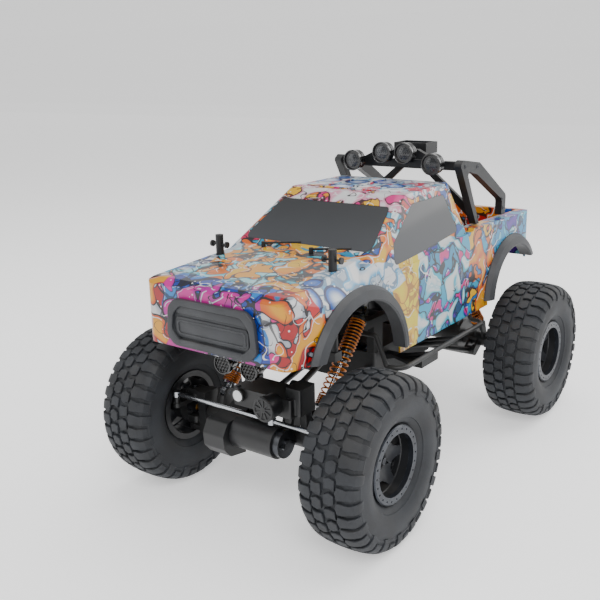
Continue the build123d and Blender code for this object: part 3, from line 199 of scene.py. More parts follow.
class SharedEffects:
    """The surface effects that several finishes use, each a node group built once."""

    def __init__(self) -> None:
        """Builds every group."""
        self.grain = self.build("moulded_grain", {"Scale": 900.0, "Depth": 0.00003}, ("Normal", "Speckle"),
                                self.wire_grain)
        self.rub = self.build("edge_rub", {"Width": 0.0006, "Amount": 0.5}, ("Mask",), self.wire_rub)
        self.dust = self.build("settled_dust", {"Scale": 40.0, "Amount": 0.3}, ("Mask",), self.wire_dust)
        self.patches = self.build("spray_patches", {"Scale": 30.0, "Warp": 0.03}, ("Pick", "Seam"),
                                  self.wire_patches)
        self.letters = self.build("spray_letters", {"Scale": 27.0, "Swirl": 1.0},
                                  ("Fill", "Line", "Shine", "Core"), self.wire_letters)
        self.rings = self.build("spray_bubbles", {"Scale": 45.0, "Size": 0.4}, ("Disc", "Ring", "Fade"),
                                self.wire_rings)

    @staticmethod
    def build(name: str, inputs: dict[str, float], outputs: Sequence[str],
              wire: Callable[[NodePen, bpy.types.Node, bpy.types.Node], None]) -> bpy.types.NodeTree:
        """Makes a group with its sockets and wires it.

        Args:
            name: The group's name.
            inputs: Number inputs with their values, which follow the Vector input.
            outputs: Output names. Normal is a vector, and the others are numbers.
            wire: Draws the inside of the group.

        Returns:
            The group.
        """
        tree = bpy.data.node_groups.new(name, "ShaderNodeTree")
        tree.interface.new_socket(name="Vector", in_out="INPUT", socket_type="NodeSocketVector")
        for label, value in inputs.items():
            socket = tree.interface.new_socket(name=label, in_out="INPUT", socket_type="NodeSocketFloat")
            socket.default_value = value
        for label in outputs:
            kind = "NodeSocketVector" if label == "Normal" else "NodeSocketFloat"
            tree.interface.new_socket(name=label, in_out="OUTPUT", socket_type=kind)
        pen = NodePen(tree)
        wire(pen, pen.node("NodeGroupInput"), pen.node("NodeGroupOutput"))
        return tree

    @staticmethod
    def wire_grain(pen: NodePen, entry: bpy.types.Node, leave: bpy.types.Node) -> None:
        """Draws the fine pebbling of moulded plastic and rubber."""
        fine = pen.noise(entry.outputs["Vector"], 1.0, 3.0)
        pen.feed(fine.inputs["Scale"], entry.outputs["Scale"])
        bump = pen.node("ShaderNodeBump", {"Height": fine.outputs["Fac"], "Strength": 0.7,
                                           "Distance": entry.outputs["Depth"]})
        pen.feed(leave.inputs["Normal"], bump.outputs["Normal"])
        pen.feed(leave.inputs["Speckle"], fine.outputs["Fac"])

    @staticmethod
    def wire_rub(pen: NodePen, entry: bpy.types.Node, leave: bpy.types.Node) -> None:
        """Draws the lighter rubbed band along edges, broken up by noise."""
        rounded = pen.node("ShaderNodeBevel", {"Radius": entry.outputs["Width"]}, samples=4)
        flat = pen.node("ShaderNodeNewGeometry")
        match = pen.vector("DOT_PRODUCT", rounded.outputs["Normal"], flat.outputs["Normal"])
        edge = pen.step(match, 0.99, 0.86)
        worn = pen.step(pen.noise(entry.outputs["Vector"], 260.0, 4.0).outputs["Fac"], 0.42, 0.62)
        mask = pen.math("MULTIPLY", pen.math("MULTIPLY", edge, worn), entry.outputs["Amount"])
        pen.feed(leave.inputs["Mask"], mask)

    @staticmethod
    def wire_dust(pen: NodePen, entry: bpy.types.Node, leave: bpy.types.Node) -> None:
        """Draws a thin film of dust that lies on upward faces."""
        cloud = pen.noise(entry.outputs["Vector"], 1.0, 5.0)
        pen.feed(cloud.inputs["Scale"], entry.outputs["Scale"])
        normal = pen.node("ShaderNodeNewGeometry").outputs["Normal"]
        rise = pen.node("ShaderNodeSeparateXYZ", {0: normal}).outputs["Z"]
        mask = pen.math("MULTIPLY", pen.step(cloud.outputs["Fac"], 0.4, 0.7), pen.step(rise, -0.2, 0.9))
        pen.feed(leave.inputs["Mask"], pen.math("MULTIPLY", mask, entry.outputs["Amount"]))

    @staticmethod
    def wire_patches(pen: NodePen, entry: bpy.types.Node, leave: bpy.types.Node) -> None:
        """Draws large flat patches with wavy borders and a thin seam between them."""
        swirl = pen.noise(entry.outputs["Vector"], 34.0, 1.0)
        push = pen.vector("SUBTRACT", swirl.outputs["Color"], (0.5, 0.5, 0.5))
        reach = pen.node("ShaderNodeVectorMath", {0: push, "Scale": entry.outputs["Warp"]}, operation="SCALE")
        place = pen.vector("ADD", entry.outputs["Vector"], reach.outputs["Vector"])
        cells = pen.node("ShaderNodeTexVoronoi", {"Vector": place, "Scale": entry.outputs["Scale"]})
        edges = pen.node("ShaderNodeTexVoronoi", {"Vector": place, "Scale": entry.outputs["Scale"]},
                         feature="DISTANCE_TO_EDGE")
        pick = pen.node("ShaderNodeSeparateColor", {0: cells.outputs["Color"]})
        pen.feed(leave.inputs["Pick"], pick.outputs[0])
        pen.feed(leave.inputs["Seam"], pen.math("LESS_THAN", edges.outputs["Distance"], 0.03))

    @staticmethod
    def wire_letters(pen: NodePen, entry: bpy.types.Node, leave: bpy.types.Node) -> None:
        """Draws swelling letter-like shapes that spell nothing, outlined, with a gleam along one side."""
        looks = []
        for shift in ((0.0, 0.0, 0.0), (0.0014, 0.0010, -0.0017)):
            spot = pen.vector("ADD", entry.outputs["Vector"], shift)
            swell = pen.noise(spot, 1.0, 0.6)
            pen.feed(swell.inputs["Scale"], entry.outputs["Scale"])
            pen.feed(swell.inputs["Distortion"], entry.outputs["Swirl"])
            looks.append(swell.outputs["Fac"])
        here, beside = looks
        gleam = pen.math("MULTIPLY", pen.window(here, 0.575, 0.6, 0.004), pen.step(
            pen.math("SUBTRACT", beside, here), 0.004, 0.012))
        pen.feed(leave.inputs["Fill"], pen.step(here, 0.53, 0.536))
        pen.feed(leave.inputs["Line"], pen.window(here, 0.502, 0.536, 0.003))
        pen.feed(leave.inputs["Shine"], gleam)
        pen.feed(leave.inputs["Core"], pen.step(here, 0.54, 0.66))

    @staticmethod
    def wire_rings(pen: NodePen, entry: bpy.types.Node, leave: bpy.types.Node) -> None:
        """Draws scattered round bubbles, each with a ring at its rim."""
        spots = pen.node("ShaderNodeTexVoronoi", {"Vector": entry.outputs["Vector"],
                                                  "Scale": entry.outputs["Scale"], "Randomness": 0.8})
        reach = pen.math("DIVIDE", spots.outputs["Distance"], entry.outputs["Size"])
        pen.feed(leave.inputs["Disc"], pen.math("LESS_THAN", reach, 1.0))
        pen.feed(leave.inputs["Ring"], pen.math("MULTIPLY", pen.math("LESS_THAN", reach, 1.0),
                                                pen.math("GREATER_THAN", reach, 0.82)))
        pen.feed(leave.inputs["Fade"], reach)


EFFECTS = SharedEffects()


# ------------------------------------------------------------------ finishes
@dataclass(frozen=True)
class Finish:
    """A plain finish: moulded plastic, rubber, wire or machined metal.

    Args:
        name: The material's name.
        slot: The record's slot that the finish belongs to. Not used.
        base: The main colour code.
        tint: The second colour code, in cloudy patches.
        rubbed: The colour code of rubbed edges.
        rough: Roughness.
        metallic: 1 for bare metal.
        grain: Grains to a metre.
        depth: Height of the grain in metres.
        wear: How much edges are rubbed.
        dust: How much dust lies on top.
        coat: Weight of a clear coat.
    """

    name: str
    slot: str
    base: str
    tint: str
    rubbed: str
    rough: float = 0.5
    metallic: float = 0.0
    grain: float = 1400.0
    depth: float = 0.00003
    wear: float = 0.4
    dust: float = 0.12
    coat: float = 0.0

    def material(self) -> bpy.types.Material:
        """Builds the material once and hands it back on later calls."""
        made = bpy.data.materials.get(self.name)
        if made:
            return made
        made = bpy.data.materials.new(self.name)
        made.use_nodes = True
        made.node_tree.nodes.clear()
        pen = NodePen(made.node_tree)
        where = pen.node("ShaderNodeTexCoord").outputs["Object"]
        skin = pen.node("ShaderNodeBsdfPrincipled")
        self.dress(pen, where, skin)
        pen.node("ShaderNodeOutputMaterial", {"Surface": skin.outputs["BSDF"]})
        return made

    def dress(self, pen: NodePen, where: bpy.types.NodeSocket, skin: bpy.types.Node) -> None:
        """Wires colour, roughness and relief.

        Args:
            pen: The material's pen.
            where: Object coordinates.
            skin: The Principled node.
        """
        grain = pen.use(EFFECTS.grain, {"Vector": where, "Scale": self.grain, "Depth": self.depth})
        cloud = pen.step(pen.noise(where, 45.0, 4.0).outputs["Fac"], 0.35, 0.65)
        colour = pen.blend(cloud, linear(self.base), linear(self.tint))
        edge = pen.use(EFFECTS.rub, {"Vector": where, "Width": 0.0007, "Amount": self.wear}).outputs["Mask"]
        colour = pen.blend(edge, colour, linear(self.rubbed))
        film = pen.use(EFFECTS.dust, {"Vector": where, "Scale": 30.0, "Amount": self.dust}).outputs["Mask"]
        colour = pen.blend(film, colour, linear(DUST_COLOUR))
        rough = pen.math("ADD", self.rough - 0.08, pen.math("MULTIPLY", grain.outputs["Speckle"], 0.16))
        rough = pen.math("ADD", rough, pen.math("MULTIPLY", film, 0.3))
        pen.feed(skin.inputs["Base Color"], colour)
        pen.feed(skin.inputs["Roughness"], rough)
        pen.feed(skin.inputs["Normal"], grain.outputs["Normal"])
        skin.inputs["Metallic"].default_value = self.metallic
        skin.inputs["Coat Weight"].default_value = self.coat
        skin.inputs["Coat Roughness"].default_value = 0.12


@dataclass(frozen=True)
class SmokedPane(Finish):
    """A dark painted-in window with a glossy face and a painted reflection: a paler band near its foot."""

    def dress(self, pen: NodePen, where: bpy.types.NodeSocket, skin: bpy.types.Node) -> None:
        """Wires a dark pane with a painted reflection that pales it towards the belt line, under a clear coat."""
        height = pen.node("ShaderNodeSeparateXYZ", {0: where}).outputs["Z"]
        # painted reflection: the dark pane is blended toward a paler grey near its foot, broken into streaks by noise
        reflection_fade = pen.step(height, 0.236, 0.19)
        smear_and_reflection = pen.noise(where, 26.0, 3.0).outputs["Fac"]
        reflection_share = pen.math("MULTIPLY", reflection_fade, pen.math("ADD", 0.55, pen.math("MULTIPLY", smear_and_reflection, 0.5)))
        pen.feed(skin.inputs["Base Color"], pen.blend(reflection_share, linear(self.base), linear(self.tint)))
        pen.feed(skin.inputs["Roughness"], pen.math("ADD", self.rough, pen.math("MULTIPLY", smear_and_reflection, 0.12)))
        ripple = pen.node("ShaderNodeBump", {"Height": smear_and_reflection, "Strength": 0.25, "Distance": 0.0002})
        pen.feed(skin.inputs["Normal"], ripple.outputs["Normal"])
        skin.inputs["Coat Weight"].default_value = self.coat
        skin.inputs["Coat Roughness"].default_value = 0.08


@dataclass(frozen=True)
class SprayArea:
    """One area of the painted body with its own colours.

    Args:
        ground: The colours of the large patches.
        letters: Core and rim colours of the large shapes.
        second: Core and rim colours of the small shapes.
        line: The outline colour.
        y: Reach along the truck, in metres.
        z: Reach upwards.
        x: Reach outwards from the middle.
        bubbles: The bubble colour, or empty for none.
    """

    ground: tuple[str, ...]
    letters: tuple[str, str]
    second: tuple[str, str]
    line: str
    y: tuple[float, float] = (-0.3, 0.3)
    z: tuple[float, float] = (0.0, 0.4)
    x: tuple[float, float] = (-0.01, 0.2)
    bubbles: str = ""


SPRAY_AREAS = (
    # door, quarter and bed sides, then the bright drip behind the front wheel
    SprayArea(("0a9fd0", "08b4e0", "31577f", "0a9fd0"), ("f6f8f8", "5cc8e4"), ("ee3f96", "1450b8"),
              "141a24", y=(-0.05, 0.055), z=(0.0, 0.2)),
    SprayArea(("f57c00", "ffc400", "20242c", "f57c00"), ("ffb400", "ee5300"), ("16b4dc", "0f6fc0"), "16181e",
              y=(0.055, 0.108), z=(0.0, 0.21)),
    SprayArea(("08a4e0", "08a4e0", "1558cc", "08a4e0"), ("6a35b8", "3a2aa8"), ("a8e4f4", "3cc4ea"), "0d1c50",
              y=(0.108, 0.3), z=(0.0, 0.21)),
    SprayArea(("ffe000", "ffd000"), ("ffe600", "ffc800"), ("fff25a", "ffe000"), "c08000", y=(-0.076, -0.038),
              z=(0.0, 0.197)),
    # the nose: red and pink corners, a blue band above the grille
    SprayArea(("e00914", "e00914", "f2549c", "c00010"), ("ffb400", "f05a00"), ("f4f4f6", "b9bdc8"), "1c1a20",
              y=(-0.3, -0.150), z=(0.0, 0.193), x=(0.042, 0.2)),
    SprayArea(("0c3fb4", "0a1238", "0c3fb4", "1a74d8"), ("ee50b0", "c03aa8"), ("2a94e8", "0c3fb4"), "060a1c",
              y=(-0.3, -0.174), z=(0.0, 0.2), x=(-0.01, 0.048)),
    # the hood, then the fenders' tops with blue bubbles
    SprayArea(("ffa800", "f57c00", "34343a", "ffb000"), ("ffc800", "ff9000"), ("c8f4fa", "1fc0dc"), "2c2c32",
              y=(-0.181, -0.095), z=(0.19, 0.4), x=(-0.01, 0.060)),
    SprayArea(("f6f8fa", "eef4f8"), ("ffffff", "8cc8f0"), ("c9d4de", "8a9aac"), "8aa4bc", y=(-0.172, -0.06),
              z=(0.174, 0.4), x=(0.050, 0.2), bubbles="0a62c8"),
    # pillars, roof and its front edge
    SprayArea(("08a4d0", "0f50b4", "f4f7f8", "e02860"), ("ffc800", "f57000"), ("f6f8f8", "7fd4ee"), "141a26",
              y=(-0.1, 0.3), z=(0.199, 0.4)),
    SprayArea(("f4f6f8", "eef2f6"), ("ffffff", "9fd0f2"), ("e83a50", "f58a9c"), "8496a8", y=(-0.04, 0.07),
              z=(0.234, 0.4), bubbles="0a62c8"),
    SprayArea(("e00914", "f2549c", "ffc400"), ("f6f7f8", "f4b8cc"), ("ffc400", "f57000"), "3a1420",
              y=(-0.05, -0.022), z=(0.228, 0.4)),
    # inside and behind the bed
    SprayArea(("f56a00", "d81818", "ffa800"), ("ffb400", "ee4300"), ("1558cc", "0a9fd0"), "200e10",
              y=(0.108, 0.3), z=(0.16, 0.3), x=(-0.01, 0.062)),
)


@dataclass(frozen=True)
class SprayedShell(Finish):
    """The painted body: sprayed patches and outlined shapes, bubbles and scribbles, clear coated."""

    areas: tuple[SprayArea, ...] = SPRAY_AREAS

    def dress(self, pen: NodePen, where: bpy.types.NodeSocket, skin: bpy.types.Node) -> None:
        """Wires the painting area by area, then the gloss and the rounded edges."""
        sway = pen.noise(where, 38.0, 1.0).outputs["Color"]
        push = pen.node("ShaderNodeVectorMath", {0: pen.vector("SUBTRACT", sway, (0.5, 0.5, 0.5)), "Scale": 0.022},
                        operation="SCALE").outputs["Vector"]
        loose = pen.node("ShaderNodeSeparateXYZ", {0: pen.vector("ADD", where, push)})
        out = pen.math("ABSOLUTE", loose.outputs["X"])
        ground = pen.use(EFFECTS.patches, {"Vector": where, "Scale": 31.0, "Warp": 0.04})
        large = pen.use(EFFECTS.letters, {"Vector": where, "Scale": 42.0, "Swirl": 1.1})
        little = pen.use(EFFECTS.letters, {"Vector": pen.vector("ADD", where, (0.31, 0.17, 0.53)), "Scale": 70.0,
                                           "Swirl": 0.8})
        rings = pen.use(EFFECTS.rings, {"Vector": where, "Scale": 36.0, "Size": 0.44})
        colour = linear("0a9fd0")
        for area in self.areas:
            mask = pen.window(loose.outputs["Y"], *area.y, EDGE_SOFTNESS)
            mask = pen.math("MULTIPLY", mask, pen.window(loose.outputs["Z"], *area.z, EDGE_SOFTNESS))
            mask = pen.math("MULTIPLY", mask, pen.window(out, *area.x, EDGE_SOFTNESS))
            paint = self.paint(pen, area, ground, little, area.second, pen.palette(ground.outputs["Pick"],
                                                                                  area.ground))
            paint = self.paint(pen, area, ground, large, area.letters, paint)
            if area.bubbles:
                paint = self.bubbled(pen, area, rings, paint)
            colour = pen.blend(mask, colour, paint)
        colour = self.scribbled(pen, where, colour)
        film = pen.use(EFFECTS.dust, {"Vector": where, "Scale": 55.0, "Amount": 0.03}).outputs["Mask"]
        colour = pen.blend(film, colour, linear("c8c4bc"))
        deep = pen.node("ShaderNodeHueSaturation", {"Saturation": 1.32, "Value": 0.56, "Color": colour})
        rounded = pen.node("ShaderNodeBevel", {"Radius": 0.0014}, samples=6).outputs["Normal"]
        mist = pen.noise(where, 700.0, 2.0).outputs["Fac"]
        peel = pen.node("ShaderNodeBump", {"Height": mist, "Strength": 0.3, "Distance": 0.00004, "Normal": rounded})
        pen.feed(skin.inputs["Base Color"], deep.outputs["Color"])
        pen.feed(skin.inputs["Roughness"], pen.math("ADD", self.rough, pen.math("MULTIPLY", mist, 0.1)))
        pen.feed(skin.inputs["Normal"], peel.outputs["Normal"])
        skin.inputs["Coat Weight"].default_value = self.coat
        skin.inputs["Coat Roughness"].default_value = 0.1

    @staticmethod
    def paint(pen: NodePen, area: SprayArea, ground: bpy.types.Node, shapes: bpy.types.Node,
              codes: tuple[str, str], under: bpy.types.NodeSocket) -> bpy.types.NodeSocket:
        """Sprays one layer of outlined shapes over an area.

        Args:
            pen: The material's pen.
            area: The area.
            ground: The large patches, whose seams show faintly.
            shapes: The shapes' masks.
            codes: Core and rim colours.
            under: The colour underneath.

        Returns:
            The area's colour.
        """
        under = pen.blend(pen.math("MULTIPLY", ground.outputs["Seam"], 0.8), under, linear(area.line))
        inside = pen.blend(shapes.outputs["Core"], linear(codes[1]), linear(codes[0]))
        laid = pen.blend(shapes.outputs["Fill"], under, inside)
        laid = pen.blend(shapes.outputs["Line"], laid, linear(area.line))
        return pen.blend(shapes.outputs["Shine"], laid, linear("f2fdff"))

    @staticmethod
    def bubbled(pen: NodePen, area: SprayArea, rings: bpy.types.Node,
                under: bpy.types.NodeSocket) -> bpy.types.NodeSocket:
        """Lays bubbles over an area's patches and returns the colour."""
        fill = pen.blend(pen.step(rings.outputs["Fade"], 0.15, 0.9), linear("f4fbff"), linear(area.bubbles))
        seen = pen.blend(pen.math("MULTIPLY", rings.outputs["Disc"], 0.9), under, fill)
        return pen.blend(rings.outputs["Ring"], seen, linear("0a1e60"))

    @staticmethod
    def scribbled(pen: NodePen, where: bpy.types.NodeSocket, under: bpy.types.NodeSocket) -> bpy.types.NodeSocket:
        """Lays thin swirling spray lines and a few flecks over the painting and returns the colour."""
        zone = pen.step(pen.noise(where, 24.0, 1.0).outputs["Fac"], 0.5, 0.53)
        swirl = pen.noise(where, 52.0, 1.0).outputs["Fac"]
        pale = pen.window(swirl, 0.485, 0.499, 0.002)
        colour = pen.blend(pen.math("MULTIPLY", pale, zone), under, linear("ffffff"))
        dark = pen.window(pen.noise(pen.vector("ADD", where, (0.4, 0.1, 0.7)), 58.0, 1.0).outputs["Fac"],
                          0.535, 0.55, 0.002)
        colour = pen.blend(pen.math("MULTIPLY", dark, zone), colour, linear("0c0e14"))
        flecks = pen.node("ShaderNodeTexVoronoi", {"Vector": where, "Scale": 330.0})
        few = pen.node("ShaderNodeSeparateColor", {0: flecks.outputs["Color"]}).outputs[0]
        fleck = pen.math("MULTIPLY", pen.math("LESS_THAN", flecks.outputs["Distance"], 0.26),
                         pen.math("GREATER_THAN", few, 0.9))
        return pen.blend(fleck, colour, linear("ffffff"))


CHASSIS_PLASTIC = Finish("chassis_plastic", "black_plastic", "0f1011", "18191b", "3a3b3d", rough=0.5)
AXLE_PLASTIC = Finish("axle_plastic", "black_plastic", "121314", "1b1c1e", "454648", rough=0.42, wear=0.5)
CAGE_PLASTIC = Finish("cage_plastic", "black_plastic", "131416", "1c1e20", "4a4c50", rough=0.44, wear=0.5)
TRIM_GREY = Finish("trim_grey", "grey_plastic", "292b2f", "323438", "585b60", rough=0.5, depth=0.00005, wear=0.35)
TREAD_RUBBER = Finish("tread_rubber", "tyre", "1b1d21", "24272c", "40444c", rough=0.66, grain=1100.0,
                      depth=0.00006, wear=0.4, dust=0.1)
RIM_BLACK = Finish("rim_black", "rim", "17181a", "222326", "5a5c60", rough=0.36, wear=0.55)
SPOKE_GREY = Finish("spoke_grey", "rim", "2a2c30", "34363b", "7a7e85", rough=0.34, wear=0.7)
RING_BLACK = Finish("ring_black", "rim", "2b2e34", "353940", "7d828b", rough=0.34, metallic=0.6, wear=0.6)
BRIGHT_STEEL = Finish("bright_steel", "steel", "b9bcc0", "a3a6ab", "e6e7e8", rough=0.24, metallic=1.0,
                      grain=2600.0, depth=0.00001, wear=0.3, dust=0.04)
SCREW_STEEL = Finish("screw_steel", "steel", "2e3034", "3b3d42", "8d9096", rough=0.3, metallic=0.9, wear=0.6)
MOTOR_CAN = Finish("motor_can", "motor_steel", "55575b", "484a4e", "9fa1a4", rough=0.34, metallic=1.0,
                   grain=3000.0, depth=0.00001)
CUT_BRASS = Finish("cut_brass", "brass_gear", "b8893c", "a5762c", "e3c17c", rough=0.3, metallic=1.0)
COPPER_WIRE = Finish("copper_wire", "spring_copper", "c8742a", "b3611d", "f0b070", rough=0.3, metallic=0.75,
                     grain=1800.0, depth=0.00001, dust=0.03)
SHOCK_BLACK = Finish("shock_black", "gloss_black", "0e0f10", "17181a", "55585c", rough=0.24, coat=0.4)
POD_BLACK = Finish("pod_black", "gloss_black", "0c0d0e", "131416", "4b4d50", rough=0.2, coat=0.6)
LENS_GREY = Finish("lens_grey", "gloss_black", "1c1e21", "2c2f33", "8c9096", rough=0.14, metallic=0.3, coat=0.8,
                   dust=0.0)
BATTERY_WRAP = Finish("battery_wrap", "battery_wrap", "25303f", "2c3a4c", "5f6c7c", rough=0.35, coat=0.3)
STICKER_WHITE = Finish("sticker_white", "printed_shell", "e4e6e7", "d6d9db", "ffffff", rough=0.4, wear=0.1)
ROOF_WHITE = SprayedShell("roof_paint", "printed_shell", "f2f5f7", "eaf1f5", "ffffff", rough=0.34, coat=0.25)
BODY_SPRAY = SprayedShell("body_spray", "printed_shell", "0a9fd0", "0a9fd0", "ffffff", rough=0.34, coat=0.25)
SMOKED = SmokedPane("smoked_pane", "window", "1c1e21", "3a3d42", "70757c", rough=0.3, coat=0.3)

CARRIED: tuple[tuple[Finish, tuple[str, ...]], ...] = (
    (CHASSIS_PLASTIC, ("chassis_tub", "frame_rails", "rock_sliders", "receiver")),
    (AXLE_PLASTIC, ("front_axle_housing", "rear_axle_housing", "front_diff_guard", "rear_diff_guard",
                    "knuckle_left", "knuckle_right", "steering_gearbox", "servo_arm", "front_lower_links",
                    "rear_lower_links", "front_upper_links", "rear_upper_links")),
    (CAGE_PLASTIC, ("roll_bar", "wipers", "body_clips")),
    (TRIM_GREY, ("fender_flares",)),
    (RING_BLACK, tuple(f"bead_ring_{wheel}" for wheel in WHEELS)),
    (BRIGHT_STEEL, ("tie_rod", "rear_bearings", "front_shock_rods", "rear_shock_rods")),
    (SCREW_STEEL, ("chassis_pins", "front_axle_pins", "rear_axle_pins", "kingpin_screws", "front_pinion",
                   "rear_pinion", *(f"hub_{wheel}" for wheel in WHEELS))),
    (MOTOR_CAN, ("front_drive_motor", "rear_drive_motor")),
    (CUT_BRASS, ("front_drive_gear", "rear_drive_gear")),
    (SHOCK_BLACK, ("front_shock_bodies", "rear_shock_bodies")),
    (BATTERY_WRAP, ("battery_pack",)),
    (BODY_SPRAY, ("body_shell",)),
    (SMOKED, ("window_glass",)),
)


def dress_carried_nodes() -> None:
    """Gives every CAD node that stays in view its finish."""
    for finish, nodes in CARRIED:
        for name in nodes:
            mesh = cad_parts[name].data
            mesh.materials.clear()
            mesh.materials.append(finish.material())
        log.info("%s on %d nodes", finish.name, len(nodes))


# ------------------------------------------------------------------ the bench
class Part:
    """A piece in the making, in millimetres, until it is placed."""

    def __init__(self) -> None:
        """Starts empty."""
        self.bm = bmesh.new()

    def add(self, other: "Part", move: Matrix | None = None) -> "Part":
        """Takes another part's faces in.

        Args:
            other: The part to take in. It stays as it is.
            move: Where the copy goes.

        Returns:
            This part.
        """
        scratch = bpy.data.meshes.new("scratch")
        other.bm.to_mesh(scratch)
        if move is not None:
            scratch.transform(move)
            if move.determinant() < 0:
                scratch.flip_normals()
        self.bm.from_mesh(scratch)
        bpy.data.meshes.remove(scratch)
        return self

    def moved(self, move: Matrix) -> "Part":
        """Moves, turns or mirrors the whole part."""
        self.bm.transform(move)
        if move.determinant() < 0:
            bmesh.ops.reverse_faces(self.bm, faces=self.bm.faces)
        return self

    def both_sides(self) -> "Part":
        """Adds the mirror image across the middle of the truck."""
        twin = Part().add(self)
        return self.add(twin, Matrix.Diagonal((-1, 1, 1, 1)))

    def lathe(self, line: Sequence[tuple[float, float]], steps: int = 48, closed: bool = True) -> "Part":
        """Spins a line of (x, r) points round the X axis.

        Args:
            line: The points.
            steps: Facets round the turn.
            closed: True when the line's last point joins its first.

        Returns:
            This part.
        """
        verts = [self.bm.verts.new((x, 0.0, r)) for x, r in line]
        pairs = list(zip(verts, verts[1:] + (verts[:1] if closed else [])))
        edges = [self.bm.edges.new(pair) for pair in pairs]
        bmesh.ops.spin(self.bm, geom=verts + edges, cent=(0, 0, 0), axis=(1, 0, 0), angle=math.tau,
                       steps=steps, use_merge=True)
        bmesh.ops.remove_doubles(self.bm, verts=self.bm.verts, dist=0.002)
        bmesh.ops.recalc_face_normals(self.bm, faces=self.bm.faces)
        return self

    def plate(self, outline: Sequence[tuple[float, float]], low: float, high: float, way: Way,
              corner: float = 0.0, holes: Sequence[Sequence[tuple[float, float]]] = ()) -> "Part":
        """Makes a flat outline into a closed plate.

        Args:
            outline: Corner points: (y, z) facing outboard, (x, z) facing aft, (x, y) facing up.
            low: Where the plate starts along its way.
            high: Where it ends.
            way: The direction that it faces.
            corner: Rounding of the outline's corners.
            holes: Outlines of the holes through it.

        Returns:
            This part.
        """
        axis = way.value
        part = Part()
        rims = []
        for loop in (outline, *holes):
            verts = []
            for a, b in loop:
                spot = [a, b]
                spot.insert(axis, low)
                verts.append(part.bm.verts.new(spot))
            rims += [part.bm.edges.new(pair) for pair in zip(verts, verts[1:] + verts[:1])]
        if holes:
            bmesh.ops.triangle_fill(part.bm, edges=rims, use_beauty=True, use_dissolve=False)
        else:
            bmesh.ops.contextual_create(part.bm, geom=rims)
        grown = bmesh.ops.extrude_face_region(part.bm, geom=part.bm.faces[:])
        tops = [g for g in grown["geom"] if isinstance(g, bmesh.types.BMVert)]
        lift = [0.0, 0.0, 0.0]
        lift[axis] = high - low
        bmesh.ops.translate(part.bm, verts=tops, vec=lift)
        if corner:
            top_set = set(tops)
            uprights = [e for v in tops for e in v.link_edges if e.other_vert(v) not in top_set]
            ease(part.bm, uprights, corner, 4)
        bmesh.ops.recalc_face_normals(part.bm, faces=part.bm.faces)
        return self.add(part)

    def soften(self, width: float, segments: int = 2, sharper_than: float = 30.0) -> "Part":
        """Rounds every edge that turns by more than an angle."""
        sharp = [e for e in self.bm.edges if len(e.link_faces) == 2 and
                 e.calc_face_angle(0.0) > math.radians(sharper_than)]
        ease(self.bm, sharp, width, segments, clamped=True)
        return self

    def face_towards(self, way: Vector) -> list[bmesh.types.BMFace]:
        """The faces that look along a direction and lie furthest that way."""
        self.bm.normal_update()
        looking = [f for f in self.bm.faces if f.normal.dot(way) > 0.97]
        furthest = max(f.calc_center_median().dot(way) for f in looking)
        return [f for f in looking if f.calc_center_median().dot(way) > furthest - 0.05]

    def place(self, name: str, finish: Finish, body: str, replaces: Iterable[str] = (),
              sharper_than: float = 34.0, blend: tuple[str, str, tuple, tuple] | None = None) -> bpy.types.Object:
        """Turns the part into a finished piece on a body.

        Args:
            name: The piece's name.
            finish: Its finish.
            body: The CAD body it rides on.
            replaces: The CAD nodes that it stands for.
            sharper_than: Edges that turn by more degrees stay crisp.
            blend: Two bodies and two points in metres. When given, the piece stays off every body with its move baked
                in; the bodies and points themselves are not used.

        Returns:
            The object.
        """
        bmesh.ops.remove_doubles(self.bm, verts=self.bm.verts, dist=0.001)
        self.bm.transform(Matrix.Scale(MM, 4))
        mesh = bpy.data.meshes.new(name)
        self.bm.to_mesh(mesh)
        faces = len(self.bm.faces)
        self.bm.free()
        mesh.shade_smooth()
        mesh.set_sharp_from_angle(angle=math.radians(sharper_than))
        mesh.materials.append(finish.material())
        piece = bpy.data.objects.new(name, mesh)
        bpy.context.scene.collection.objects.link(piece)
        if blend:
            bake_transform(piece)
        else:
            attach(piece, body)
        if replaces:
            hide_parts(*replaces)
        log.info("%s: %d faces", name, faces)
        return piece


def ease(bm: bmesh.types.BMesh, edges: list[bmesh.types.BMEdge], width: float, segments: int = 1,
         clamped: bool = False) -> None:
    """Rounds edges by a width in a number of segments."""
    bmesh.ops.bevel(bm, geom=edges, offset=width, offset_type="OFFSET", segments=segments, profile=0.5,
                    affect="EDGES", material=-1, clamp_overlap=clamped)


def aim(spot: Sequence[float], way: Sequence[float]) -> Matrix:
    """A move that takes the Z axis to a direction at a spot."""
    return Matrix.Translation(Vector(spot)) @ Vector(way).to_track_quat("Z", "Y").to_matrix().to_4x4()


def middle_of(node: str) -> Vector:
    """The middle of a CAD node's box, in millimetres."""
    low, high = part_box(node)
    return (low + high) / 2 / MM


def screw_head(radius: float, height: float) -> Part:
    """A cap screw's head with its hex socket, standing on the origin along Z.

    Args:
        radius: Radius of the head.
        height: Height of the head.

    Returns:
        The head.
    """
    head = Part()
    bmesh.ops.create_cone(head.bm, cap_ends=True, segments=12, radius1=radius, radius2=radius * 0.93,
                          depth=height * 1.5, matrix=Matrix.Translation((0, 0, height * 0.25)))
    top = head.face_towards(Vector((0, 0, 1)))
    bmesh.ops.inset_region(head.bm, faces=top, thickness=radius * 0.45)
    bmesh.ops.inset_region(head.bm, faces=top, thickness=0.01, depth=-height * 0.6)
    return head


